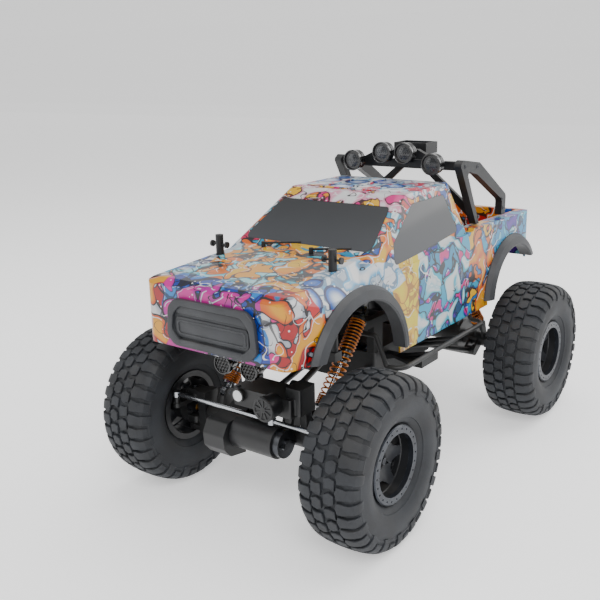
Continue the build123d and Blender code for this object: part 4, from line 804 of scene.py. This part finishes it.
# ------------------------------------------------------------------ wheels
@dataclass
class Wheel:
    """One wheel: a hollow tyre with its tread, and a dished rim with a six-pointed star."""

    place_name: str
    radius: float = 66.0
    half_width: float = 24.95
    pitches: int = 18
    side_line: tuple[tuple[float, float], ...] = (
        (0.0, 63.5), (10.0, 63.1), (17.0, 62.2), (21.2, 60.2), (22.9, 57.2), (23.6, 54.6), (23.9, 54.2),
        (23.9, 53.2), (23.5, 52.8), (24.3, 47.0), (24.0, 42.0), (22.6, 38.0), (21.6, 36.2), (21.4, 35.6),
        (20.4, 35.2), (18.4, 31.8), (16.3, 30.0), (16.3, 27.3))
    inner_line: tuple[tuple[float, float], ...] = ((13.4, 27.3), (13.4, 31.0), (20.0, 40.0), (21.0, 47.0),
                                                   (18.0, 58.0), (0.0, 60.6))

    @property
    def centre(self) -> Vector:
        """The wheel's middle in millimetres."""
        return middle_of(f"tyre_{self.place_name}")

    @property
    def seat(self) -> Matrix:
        """The move from the bench, where the axle lies along X and +X is outboard, to the truck."""
        side = 1 if self.centre.x > 0 else -1
        turn = Matrix.Rotation(math.radians(11.0 * WHEELS.index(self.place_name)), 4, "X")
        return Matrix.Translation(self.centre) @ Matrix.Diagonal((side, 1, 1, 1)) @ turn

    def over_shoulder(self, along: float) -> tuple[Vector, Vector]:
        """The carcass point and outward direction at a distance from the middle of the tread.

        Args:
            along: Distance from the middle, over the shoulder and down the side.

        Returns:
            (x, r) and the unit normal there.
        """
        left = abs(along)
        points = [Vector(p) for p in self.side_line[:9]]
        for a, b in zip(points, points[1:]):
            run = (b - a).length
            if left <= run or b is points[-1]:
                break
            left -= run
        ahead = (b - a).normalized()
        spot = a + ahead * min(left, run)
        return spot, Vector((-ahead.y, ahead.x))

    def block(self, outline: Sequence[tuple[float, float]], height: float) -> Part:
        """A tread block on the unrolled tyre: a flat outline grown to its height with eased edges."""
        part = Part().plate(outline, -0.6, height, Way.UP)
        low = [f for f in part.bm.faces if f.normal.z < -0.9]
        bmesh.ops.delete(part.bm, geom=low, context="FACES")
        edges = [e for e in part.bm.edges if all(v.co.z > height - 0.01 for v in e.verts)]
        ease(part.bm, edges, 0.45)
        return part

    def lug(self, start: float, end: float, width: float, at: float, height: float) -> Part:
        """A shoulder lug that runs over the edge and down the side.

        Args:
            start: Where it starts from the middle of the tread.
            end: Where it ends, measured over the shoulder.
            width: Its width round the tyre.
            at: Its place round the tyre.
            height: Its height.

        Returns:
            The lug, unrolled.
        """
        part = Part()
        bmesh.ops.create_grid(part.bm, x_segments=7, y_segments=2, size=0.5)
        for v in part.bm.verts:
            share = v.co.x + 0.5
            waist = 1.0 - 0.16 * math.exp(-((share - 0.42) / 0.12) ** 2) - 0.14 * share
            nose = (1.2 if abs(v.co.y) < 0.1 else 0.0) * (1 - share) ** 3
            v.co = Vector((start + (end - start) * share - nose, at + v.co.y * width * waist, -0.6))
        grown = bmesh.ops.extrude_face_region(part.bm, geom=part.bm.faces[:])
        tops = [g for g in grown["geom"] if isinstance(g, bmesh.types.BMVert)]
        for v in tops:
            share = (v.co.x - start) / (end - start)
            v.co.z = height * (1.0 - 0.42 * max(0.0, share) ** 2)
        bmesh.ops.recalc_face_normals(part.bm, faces=part.bm.faces)
        part.bm.normal_update()
        low = [f for f in part.bm.faces if all(v.co.z < -0.5 for v in f.verts)]
        bmesh.ops.delete(part.bm, geom=low, context="FACES")
        rim = [e for e in part.bm.edges if len(e.link_faces) == 2 and e.calc_face_angle(0.0) > 0.9
               and all(v.co.z > 0.0 for v in e.verts)]
        ease(part.bm, rim, 0.4)
        return part

    def tread(self) -> Part:
        """The whole tread, rolled round the carcass."""
        pitch = math.tau * self.radius / self.pitches
        half = pitch / 2
        one = Part()
        blocks = (
            ([(-9.0, 0.6), (-4.6, -0.9), (-1.0, 1.0), (-1.0, 7.2), (-4.8, 8.9), (-9.0, 7.4)], 0.0),
            ([(-9.4, 0.8), (-5.6, 0.0), (-1.6, -0.8), (-0.9, 3.0), (-1.8, 8.2), (-6.0, 7.4), (-9.4, 8.6)], half),
            ([(1.0, 0.2), (4.8, -1.4), (9.0, 0.8), (9.0, 7.2), (5.4, 8.8), (1.0, 6.8)], half * 0.52),
            ([(1.4, -0.6), (5.2, 0.6), (9.4, -0.6), (9.2, 6.6), (5.0, 8.0), (0.9, 7.0)], half * 1.52),
        )
        for outline, shift in blocks:
            one.add(self.block([(x, y + shift) for x, y in outline], 2.35))
        for side, shift in ((1, 0.0), (-1, half * 0.5)):
            for length, at in ((30.5, 4.0), (26.5, 4.0 + half)):
                lug = self.lug(11.0, length, 9.2, at + shift, 2.3)
                one.add(lug, Matrix.Diagonal((side, 1, 1, 1)))
        whole = Part()
        for k in range(self.pitches):
            whole.add(one, Matrix.Translation((0, k * pitch, 0)))
        for v in whole.bm.verts:
            spot, out = self.over_shoulder(v.co.x)
            across, reach = spot + out * v.co.z
            turn = v.co.y / self.radius
            across = min(across, self.half_width)
            reach = min(reach, self.radius - 0.02)
            v.co = (math.copysign(across, v.co.x), reach * math.sin(turn), reach * math.cos(turn))
        bmesh.ops.recalc_face_normals(whole.bm, faces=whole.bm.faces)
        return whole

    def tyre(self) -> Part:
        """The tyre: its carcass with the tread on it."""
        outer = [*reversed([(-x, r) for x, r in self.side_line[1:]]), *self.side_line]
        inner = [*self.inner_line, *reversed([(-x, r) for x, r in self.inner_line[:-1]])]
        carcass = Part().lathe([*outer, *inner], steps=120)
        return carcass.add(self.tread())

    def star(self) -> Part:
        """The rim's centre: a dished star with six points and a small window between each pair."""
        points = []
        windows = []
        for k in range(6):
            middle = 60.0 * k
            for turn, reach in ((-30.0, 17.2), (-21.0, 17.8), (-13.0, 20.4), (-9.5, 23.0), (-9.0, 25.6),
                                (9.0, 25.6), (9.5, 23.0), (13.0, 20.4), (21.0, 17.8)):
                angle = math.radians(middle + turn)
                points.append((reach * math.cos(angle), reach * math.sin(angle)))
            hole = []
            for turn, reach in ((-30.0, 15.4), (-37.0, 11.8), (-30.0, 10.9), (-23.0, 11.8)):
                angle = math.radians(middle + turn)
                hole.append((reach * math.cos(angle), reach * math.sin(angle)))
            windows.append(hole)
        bore = [(8.6 * math.cos(math.radians(t)), 8.6 * math.sin(math.radians(t))) for t in range(0, 360, 20)]
        part = Part().plate(points, 0.0, 3.4, Way.OUTBOARD, holes=[*windows, bore])
        part.soften(0.5, 2, 50.0)
        for v in part.bm.verts:
            reach = math.hypot(v.co.y, v.co.z)
            v.co.x += 0.4 + 5.2 * max(0.0, (reach - 9.0) / 16.0) ** 1.4
        return part

    def rim(self) -> Part:
        """The rim: barrel with its stepped inside, star and hub boss."""
        barrel = Part().lathe([(-18.0, 25.0), (-18.0, 29.7), (-15.4, 29.7), (-15.4, 27.0), (15.4, 27.0),
                               (15.4, 25.2), (14.9, 24.8), (9.0, 24.4), (8.4, 23.8), (4.6, 23.6), (4.0, 24.6),
                               (-17.2, 24.8)], steps=96)
        boss = Part().lathe([(-6.0, 7.3), (-6.0, 9.0), (4.4, 9.0), (5.0, 8.4), (5.0, 6.7), (2.0, 6.6), (2.0, 2.7),
                             (-1.0, 2.7), (-1.0, 7.3)], steps=48)
        for k in range(12):
            turn = Matrix.Rotation(math.radians(30 * k), 4, "X")
            rib = Part().plate([(-1.5, 23.9), (1.5, 23.9), (1.5, 25.2), (-1.5, 25.2)], -13.0, 3.8, Way.OUTBOARD)
            barrel.add(rib.soften(0.3, 1), turn)
        for k in range(6):
            at = math.radians(60 * k + 30)
            spot = (4.9, 7.6 * math.cos(at), 7.6 * math.sin(at))
            boss.add(screw_head(0.55, 0.4), aim(spot, (1, 0, 0)))
        return barrel.add(boss)

    def build(self) -> None:
        """Places the tyre and the rim on this wheel's body."""
        body = f"wheel_{self.place_name}"
        self.tyre().moved(self.seat).place(f"treaded_tyre_{self.place_name}", TREAD_RUBBER, body,
                                           [f"tyre_{self.place_name}"], sharper_than=28.0)
        self.rim().moved(self.seat).place(f"star_rim_{self.place_name}", RIM_BLACK, body,
                                          [f"rim_{self.place_name}"], sharper_than=30.0)
        self.star().moved(self.seat).place(f"spokes_{self.place_name}", SPOKE_GREY, body, sharper_than=30.0)


# ------------------------------------------------------------------ suspension
@dataclass
class CoilSprings:
    """The two progressive coils of one end, stretched between the shock bodies and rods."""

    end: str
    outboard: float = 47.0
    upper_eye: tuple[float, float] = (-78.0, 152.0)
    lower_eye: tuple[float, float] = (-140.0, 84.0)
    coil_radius: float = 6.1
    wire_radius: float = 0.62
    steps: int = 20
    # turns and rise of each zone, from the upper collar down
    zones: tuple[tuple[float, float], ...] = ((0.75, 1.3), (8.5, 2.7), (9.0, 4.3), (4.5, 1.7), (0.75, 1.3))

    def coil(self) -> Part:
        """One coil along Z from 0, wound zone by zone, with closed wire ends."""
        part = Part()
        seat = Matrix.Translation((self.coil_radius, 0, 0)) @ Matrix.Rotation(math.pi / 2, 4, "X")
        start = bmesh.ops.create_circle(part.bm, cap_ends=False, segments=7, radius=self.wire_radius, matrix=seat)
        ring = [*start["verts"], *{e for v in start["verts"] for e in v.link_edges}]
        for turns, rise in self.zones:
            steps = round(turns * self.steps)
            wound = bmesh.ops.spin(part.bm, geom=ring, cent=(0, 0, 0), axis=(0, 0, 1), angle=math.tau * turns,
                                   dvec=(0, 0, rise * turns / steps), steps=steps, use_merge=False)
            ring = wound["geom_last"]
        loose = [e for e in part.bm.edges if e.is_boundary]
        bmesh.ops.holes_fill(part.bm, edges=loose, sides=0)
        bmesh.ops.recalc_face_normals(part.bm, faces=part.bm.faces)
        return part

    def build(self) -> None:
        """Stretches the coils to the room between the collars and places both."""
        top = Vector((self.outboard, *self.upper_eye))
        foot = Vector((self.outboard, *self.lower_eye))
        along = (foot - top).normalized()
        first, last = COLLAR_GAPS[0], (foot - top).length - COLLAR_GAPS[1]
        coil = self.coil()
        rise = max(v.co.z for v in coil.bm.verts) - self.wire_radius
        stretch = Matrix.Diagonal((1, 1, (last - first) / rise, 1))
        coil.moved(stretch).moved(aim(top + along * first, along)).both_sides()
        start, stop = top + along * first, top + along * last
        if self.end == "rear":
            turned = Matrix.Rotation(math.pi, 4, "Z")
            coil.moved(turned)
            start, stop = turned @ start, turned @ stop
        coil.place(f"{self.end}_coils", COPPER_WIRE, "", [f"{self.end}_springs"], sharper_than=80.0,
                   blend=(f"{self.end}_shock_bodies", f"{self.end}_shock_rods", tuple(start * MM),
                          tuple(stop * MM)))


# ------------------------------------------------------------------ front trim
@dataclass
class Grille:
    """The bare grey grille: a deep frame round a recessed plain panel, with dimples above and a lip below."""

    half: float = 43.0
    low: float = 145.0
    high: float = 181.0
    back: float = -201.15
    front: float = -205.2

    def ring(self, inset: float) -> list[tuple[float, float]]:
        """The grille's eight-cornered outline, drawn in by a margin."""
        w, z0, z1 = self.half - inset, self.low + inset, self.high - inset
        return [(-w, z0 + 7), (-w + 7, z0), (w - 7, z0), (w, z0 + 7), (w - 2, z1 - 7), (w - 9, z1), (-w + 9, z1),
                (-w + 2, z1 - 7)]

    @staticmethod
    def rounded(points: Sequence[tuple[float, float]], radius: float) -> list[tuple[float, float]]:
        """Cuts each corner of an outline into three short sides."""
        made = []
        for before, here, after in zip([points[-1], *points[:-1]], points, [*points[1:], points[0]]):
            a, b, c = Vector(before), Vector(here), Vector(after)
            start, stop = b + (a - b).normalized() * radius, b + (c - b).normalized() * radius
            for share in (0.0, 0.33, 0.67, 1.0):
                one, two = start.lerp(b, share), b.lerp(stop, share)
                made.append(tuple(one.lerp(two, share)))
        return made

    def build(self) -> None:
        """Builds frame, floor, panel, dimples and lip as one piece."""
        outer, inner = self.rounded(self.ring(0), 3.2), self.rounded(self.ring(5.0), 2.6)
        part = Part().plate(outer, self.front, self.back, Way.AFT, holes=[inner]).soften(0.7, 3, 50.0)
        part.plate(self.rounded(self.ring(4.4), 2.6), self.back - 1.2, self.back, Way.AFT)
        upper = Part().plate([(-34, 170), (34, 170), (32.0, 176.6), (-32.0, 176.6)], self.front + 1.3, self.back,
                             Way.AFT)
        part.add(upper.soften(0.9, 2))
        panel = Part().plate([(-33, 152), (33, 152), (35, 155), (35, 164.5), (33, 167.5), (-33, 167.5), (-35, 164.5),
                              (-35, 155)], self.front + 1.7, self.back, Way.AFT)
        part.add(panel.soften(0.6, 2))
        rail = Part().plate([(-31, 154), (31, 154), (33, 156), (33, 163.5), (31, 165.5), (-31, 165.5), (-33, 163.5),
                             (-33, 156)], self.front + 1.1, self.front + 1.9, Way.AFT,
                            holes=[[(-29.6, 155.4), (29.6, 155.4), (31.4, 157), (31.4, 162.6), (29.6, 164.1),
                                    (-29.6, 164.1), (-31.4, 162.6), (-31.4, 157)]])
        part.add(rail.soften(0.25, 1, 50.0))
        for k in range(-3, 4):
            cup = Part().lathe([(0.0, 1.1), (0.0, 2.1), (1.5, 2.3), (1.5, 0.0), (0.9, 0.0), (0.9, 0.9)], 20, False)
            part.add(cup, Matrix.Translation((k * 10.2, self.front + 0.7, 178.4)) @ AHEAD)
        lip = Part().plate([(-27, 146.4), (27, 146.4), (30, 148.2), (29, 150.6), (-29, 150.6), (-30, 148.2)],
                           self.front - 0.1, self.back, Way.AFT)
        part.add(lip.soften(0.8, 3))
        for side in (-1, 1):
            post = [(side * 30 - 4, 155), (side * 30 + 4, 155), (side * 30 + 4, 171), (side * 30 - 4, 171)]
            part.plate(post, self.back - 0.2, self.back + 5.0, Way.AFT)
        part.place("bare_grille", TRIM_GREY, "chassis", ["grille"])


@dataclass
class Lamps:
    """The four round lamps on the cage and the two under the grille."""

    pods: tuple[tuple[float, float, float], ...] = ((41.0, 52.0, 254.5), (11.5, 55.0, 262.5))
    pod_radius: float = 9.6
    pod_length: float = 11.0
    fog: tuple[float, float, float] = (13.0, -176.0, 126.5)
    fog_radius: float = 8.3
    back: float = 57.0

    def bead_grid(self, radius: float, spacing: float, size: float, dome: float) -> Part:
        """Small glass beads in a hex grid over a shallow dome, facing -X.

        Args:
            radius: Reach of the grid.
            spacing: Distance between beads.
            size: Radius of a bead.
            dome: Height of the dome at its middle.

        Returns:
            The beads.
        """
        bead = Part()
        bmesh.ops.create_icosphere(bead.bm, subdivisions=1, radius=size)
        grid = Part()
        rows = int(radius / spacing) + 1
        for row in range(-rows, rows + 1):
            for col in range(-rows, rows + 1):
                y, z = (col + 0.5 * (row % 2)) * spacing, row * spacing * 0.866
                if math.hypot(y, z) > radius:
                    continue
                x = -dome * (1 - (math.hypot(y, z) / (radius + size)) ** 2)
                grid.add(bead, Matrix.Translation((x, y, z)) @ Matrix.Diagonal((0.6, 1, 1, 1)))
        return grid

    def pod(self) -> Part:
        """One cage lamp along -X from its mounting foot: finned can, bezel and foot."""
        r, n = self.pod_radius, self.pod_length
        can = [(0.0, 0.0), (0.0, 5.6), (-1.2, 6.4), (-1.4, r - 1.4)]
        for k in range(3):
            x = -1.6 - 1.7 * k
            can += [(x, r - 0.5), (x - 0.8, r - 0.5), (x - 0.9, r - 1.6), (x - 1.6, r - 1.6)]
        can += [(-n + 3.4, r - 0.2), (-n + 2.8, r), (-n + 0.5, r), (-n, r - 0.5), (-n, r - 1.2),
                (-n + 1.9, r - 1.9), (-n + 1.9, 0.0)]
        return Part().lathe(can, 40, False)

    def build(self) -> None:
        """Places cans, lenses and beads."""
        cans, glass = Part(), Part()
        lens = Part().lathe([(1.2, 0.0), (1.2, self.pod_radius - 2.1), (0.2, self.pod_radius - 2.1), (-0.5, 5.2),
                             (-0.95, 2.6), (-1.1, 0.0)], 32, False)
        lens.add(self.bead_grid(6.4, 2.15, 0.72, 1.15))
        for x, y, z in self.pods:
            for side in (-1, 1):
                seat = Matrix.Translation((side * x, y + 1.0, z)) @ AHEAD
                cans.add(self.pod(), seat)
                lens_seat = Matrix.Translation((side * x, y - self.pod_length + 3.2, z)) @ AHEAD
                glass.add(lens, lens_seat)
                foot = [(side * x - 3.4, z - 3), (side * x + 3.4, z - 3), (side * x + 3.4, z + 3),
                        (side * x - 3.4, z + 3)]
                cans.plate(foot, y - 0.5, self.back - 0.15, Way.AFT)
        cans.place("cage_lamps", POD_BLACK, "chassis", ["light_pods"])
        glass.place("cage_lamp_lenses", LENS_GREY, "chassis")
        self.build_fogs()

    def build_fogs(self) -> None:
        """Places the two lower lamps, each with a wire mesh in front."""
        x, y, z = self.fog
        r = self.fog_radius
        can = Part().lathe([(8.0, 0.0), (8.0, r - 2.4), (6.6, r - 1.6), (2.0, r - 1.2), (0.0, r), (-3.4, r),
                            (-4.0, r - 0.5), (-4.0, r - 1.2), (-2.4, r - 1.5), (-2.4, 0.0)], 40, False)
        wires = Part()
        for k in range(-2, 3):
            for tilt in (30, -30):
                reach = math.sqrt((r - 1.3) ** 2 - (k * 2.5) ** 2)
                wire = Part()
                bmesh.ops.create_cone(wire.bm, cap_ends=True, segments=6, radius1=0.34, radius2=0.34,
                                      depth=2 * reach)
                wires.add(wire, Matrix.Rotation(math.radians(tilt), 4, "X") @ Matrix.Translation(
                    (-3.1 if tilt > 0 else -3.3, k * 2.5, 0)))
        can.add(wires)
        both = Part()
        for side in (-1, 1):
            both.add(can, Matrix.Translation((side * x, y, z)) @ AHEAD)
        both.place("fog_lamps", POD_BLACK, "chassis", ["fog_lights"])


# ------------------------------------------------------------------ body details
@dataclass
class BodyDetails:
    """The raised roof panel that lies on the painted shell."""

    roof_z: float = 239.0

    def build(self) -> None:
        """Places a raised panel with three long ribs in the middle of the roof."""
        panel = Part().plate([(-44, -24), (44, -24), (49, -18), (50, 34), (44, 41), (-44, 41), (-50, 34), (-49, -18)],
                             self.roof_z - 0.6, self.roof_z + 0.9, Way.UP, corner=2.5).soften(0.5, 2)
        for x in (-26, 0, 26):
            rib = Part().plate([(x - 2.2, -16), (x + 2.2, -16), (x + 2.2, 33), (x - 2.2, 33)], self.roof_z + 0.4,
                               self.roof_z + 1.7, Way.UP, corner=1.2).soften(0.5, 2)
            panel.add(rib)
        panel.place("roof_panel", ROOF_WHITE, "chassis")


@dataclass
class Fasteners:
    """Screw heads along the frame, on the cage and on the steering gearbox's lid."""

    frame_spots: tuple[float, ...] = (-108.0, -62.0, -20.0, 22.0, 64.0, 108.0)
    cage_spots: tuple[tuple[float, float], ...] = ((88.0, 203.5), (143.0, 203.5), (58.5, 252.0), (83.0, 249.5),
                                                   (139.0, 212.5))

    def build(self) -> None:
        """Places the rows of screws on the bodies that carry them."""
        head = screw_head(1.5, 0.8)
        frame_row = Part()
        for y in self.frame_spots:
            frame_row.add(head, aim((36.5, y, 131.5), (1, 0, 0)))
        frame_row.both_sides().place("frame_screws", SCREW_STEEL, "chassis")
        cage = Part()
        for y, z in self.cage_spots:
            cage.add(screw_head(1.7, 0.6), aim((66.3, y, z), (1, 0, 0)))
        cage.both_sides().place("cage_screws", SCREW_STEEL, "chassis")
        lid = Part()
        for x, y in ((-8.5, -166.5), (-8.5, -146.5), (30.0, -166.5), (30.0, -146.5)):
            lid.add(screw_head(1.5, 0.8), aim((x, y, 106.0), (0, 0, 1)))
        lid.place("gearbox_screws", SCREW_STEEL, "front_axle")


@dataclass
class SteeringMotorCap:
    """The spoked round cap on the steering motor and the plain round sticker beside it."""

    cap: tuple[float, float, float] = (28.5, -183.0, 100.5)
    radius: float = 9.4
    boss: tuple[float, float, float] = (-5.0, -173.0, 100.5)

    def build(self) -> None:
        """Places the ring with its spokes, then the sticker."""
        ring = Part().lathe([(0.6, self.radius - 2.0), (0.6, self.radius), (-0.6, self.radius - 0.1),
                             (-0.9, self.radius - 0.6), (-0.9, self.radius - 1.5), (-0.4, self.radius - 2.0)], 40)
        ring.lathe([(0.6, 0.0), (0.6, 2.6), (-0.8, 2.4), (-1.0, 0.0)], 24, False)
        for k in range(9):
            spoke = Part().plate([(-0.6, 2.0), (0.6, 2.0), (0.9, self.radius - 1.6), (-0.9, self.radius - 1.6)],
                                 -0.7, 0.5, Way.OUTBOARD).soften(0.2, 1)
            ring.add(spoke, Matrix.Rotation(math.tau / 9 * k, 4, "X"))
        ring.moved(Matrix.Translation(self.cap) @ AHEAD)
        ring.place("motor_cap", AXLE_PLASTIC, "front_axle")
        disc = Part().lathe([(0.2, 0.0), (0.2, 4.4), (-0.15, 4.4), (-0.25, 4.2), (-0.25, 0.0)], 32, False)
        disc.moved(Matrix.Translation(self.boss) @ AHEAD)
        disc.place("boss_sticker", STICKER_WHITE, "front_axle")


# ------------------------------------------------------------------ studio
@dataclass
class Studio:
    """The pale floor, the soft lights and the camera."""

    lens: float = 50.87
    azimuth: float = 37.21
    height: float = 15.74
    roll: float = -1.51
    stand: tuple[float, float, float] = (0.398604, -0.622491, 0.344733)
    paper_white: float = 0.93
    paper_glow: float = 0.55
    air_glow: float = 0.5
    # name, place in metres, width and power of each soft light
    lights: tuple[tuple[str, tuple[float, float, float], float, float], ...] = (
        ("key_light", (0.9, -1.1, 1.3), 0.9, 20.0), ("fill_light", (-1.2, -0.9, 0.7), 1.1, 6.0),
        ("top_light", (0.1, 0.2, 1.5), 1.2, 11.0), ("rim_light", (0.7, 1.2, 0.8), 0.9, 8.0))

    def floor(self) -> None:
        """A wide pale floor under the tyres that curves up far behind the truck."""
        part = Part()
        bmesh.ops.create_grid(part.bm, x_segments=4, y_segments=60, size=9000.0)
        for v in part.bm.verts:
            past = max(0.0, v.co.y - 3500.0)
            v.co.z = past ** 2 / 2600.0
        part.bm.transform(Matrix.Scale(MM, 4))
        mesh = bpy.data.meshes.new("studio_floor")
        part.bm.to_mesh(mesh)
        part.bm.free()
        floor = bpy.data.objects.new("studio_floor", mesh)
        bpy.context.scene.collection.objects.link(floor)
        paper = bpy.data.materials.new("floor_paper")
        paper.use_nodes = True
        skin = paper.node_tree.nodes["Principled BSDF"]
        skin.inputs["Base Color"].default_value = (*[self.paper_white] * 3, 1.0)
        skin.inputs["Roughness"].default_value = 0.8
        skin.inputs["Emission Color"].default_value = (1.0, 1.0, 1.0, 1.0)
        skin.inputs["Emission Strength"].default_value = self.paper_glow
        mesh.materials.append(paper)

    @staticmethod
    def soft_light(name: str, spot: Sequence[float], size: float, power: float) -> None:
        """Hangs a square soft light that points at the middle of the truck."""
        lamp = bpy.data.lights.new(name, "AREA")
        lamp.size = size
        lamp.energy = power
        holder = bpy.data.objects.new(name, lamp)
        holder.location = spot
        aimed = Vector((0, 0, 0.12)) - Vector(spot)
        holder.rotation_euler = aimed.to_track_quat("-Z", "Y").to_euler()
        bpy.context.scene.collection.objects.link(holder)

    def camera(self) -> None:
        """Stands the camera at the front left of the truck."""
        az, el, roll = (math.radians(a) for a in (self.azimuth, self.height, self.roll))
        back = Vector((math.sin(az) * math.cos(el), -math.cos(az) * math.cos(el), math.sin(el)))
        right = Vector((math.cos(az), math.sin(az), 0.0))
        up = back.cross(right)
        right, up = (right * math.cos(roll) + up * math.sin(roll), up * math.cos(roll) - right * math.sin(roll))
        turn = Matrix((right, up, back)).transposed().to_4x4()
        data = bpy.data.cameras.new("camera")
        data.lens = self.lens
        data.sensor_width = 36.0
        camera = bpy.data.objects.new("camera", data)
        camera.matrix_world = Matrix.Translation(self.stand) @ turn
        bpy.context.scene.collection.objects.link(camera)
        bpy.context.scene.camera = camera

    def build(self) -> None:
        """Sets up the whole studio."""
        self.floor()
        self.camera()
        for light in self.lights:
            self.soft_light(*light)
        world = bpy.data.worlds.new("studio_air")
        bpy.context.scene.world = world
        world.use_nodes = True
        air = world.node_tree.nodes["Background"]
        air.inputs["Color"].default_value = (1.0, 1.0, 1.0, 1.0)
        air.inputs["Strength"].default_value = self.air_glow


def main() -> None:
    """Builds the truck piece by piece, then the studio round it."""
    logging.basicConfig(level=logging.INFO, format="%(name)s: %(message)s")
    dress_carried_nodes()
    for name in WHEELS:
        Wheel(name).build()
    for end in ENDS:
        CoilSprings(end).build()
    for assembly in (Grille(), Lamps(), BodyDetails(), Fasteners(), SteeringMotorCap(), Studio()):
        assembly.build()
        log.info("%s done", type(assembly).__name__)


if __name__ == "__main__":
    main()
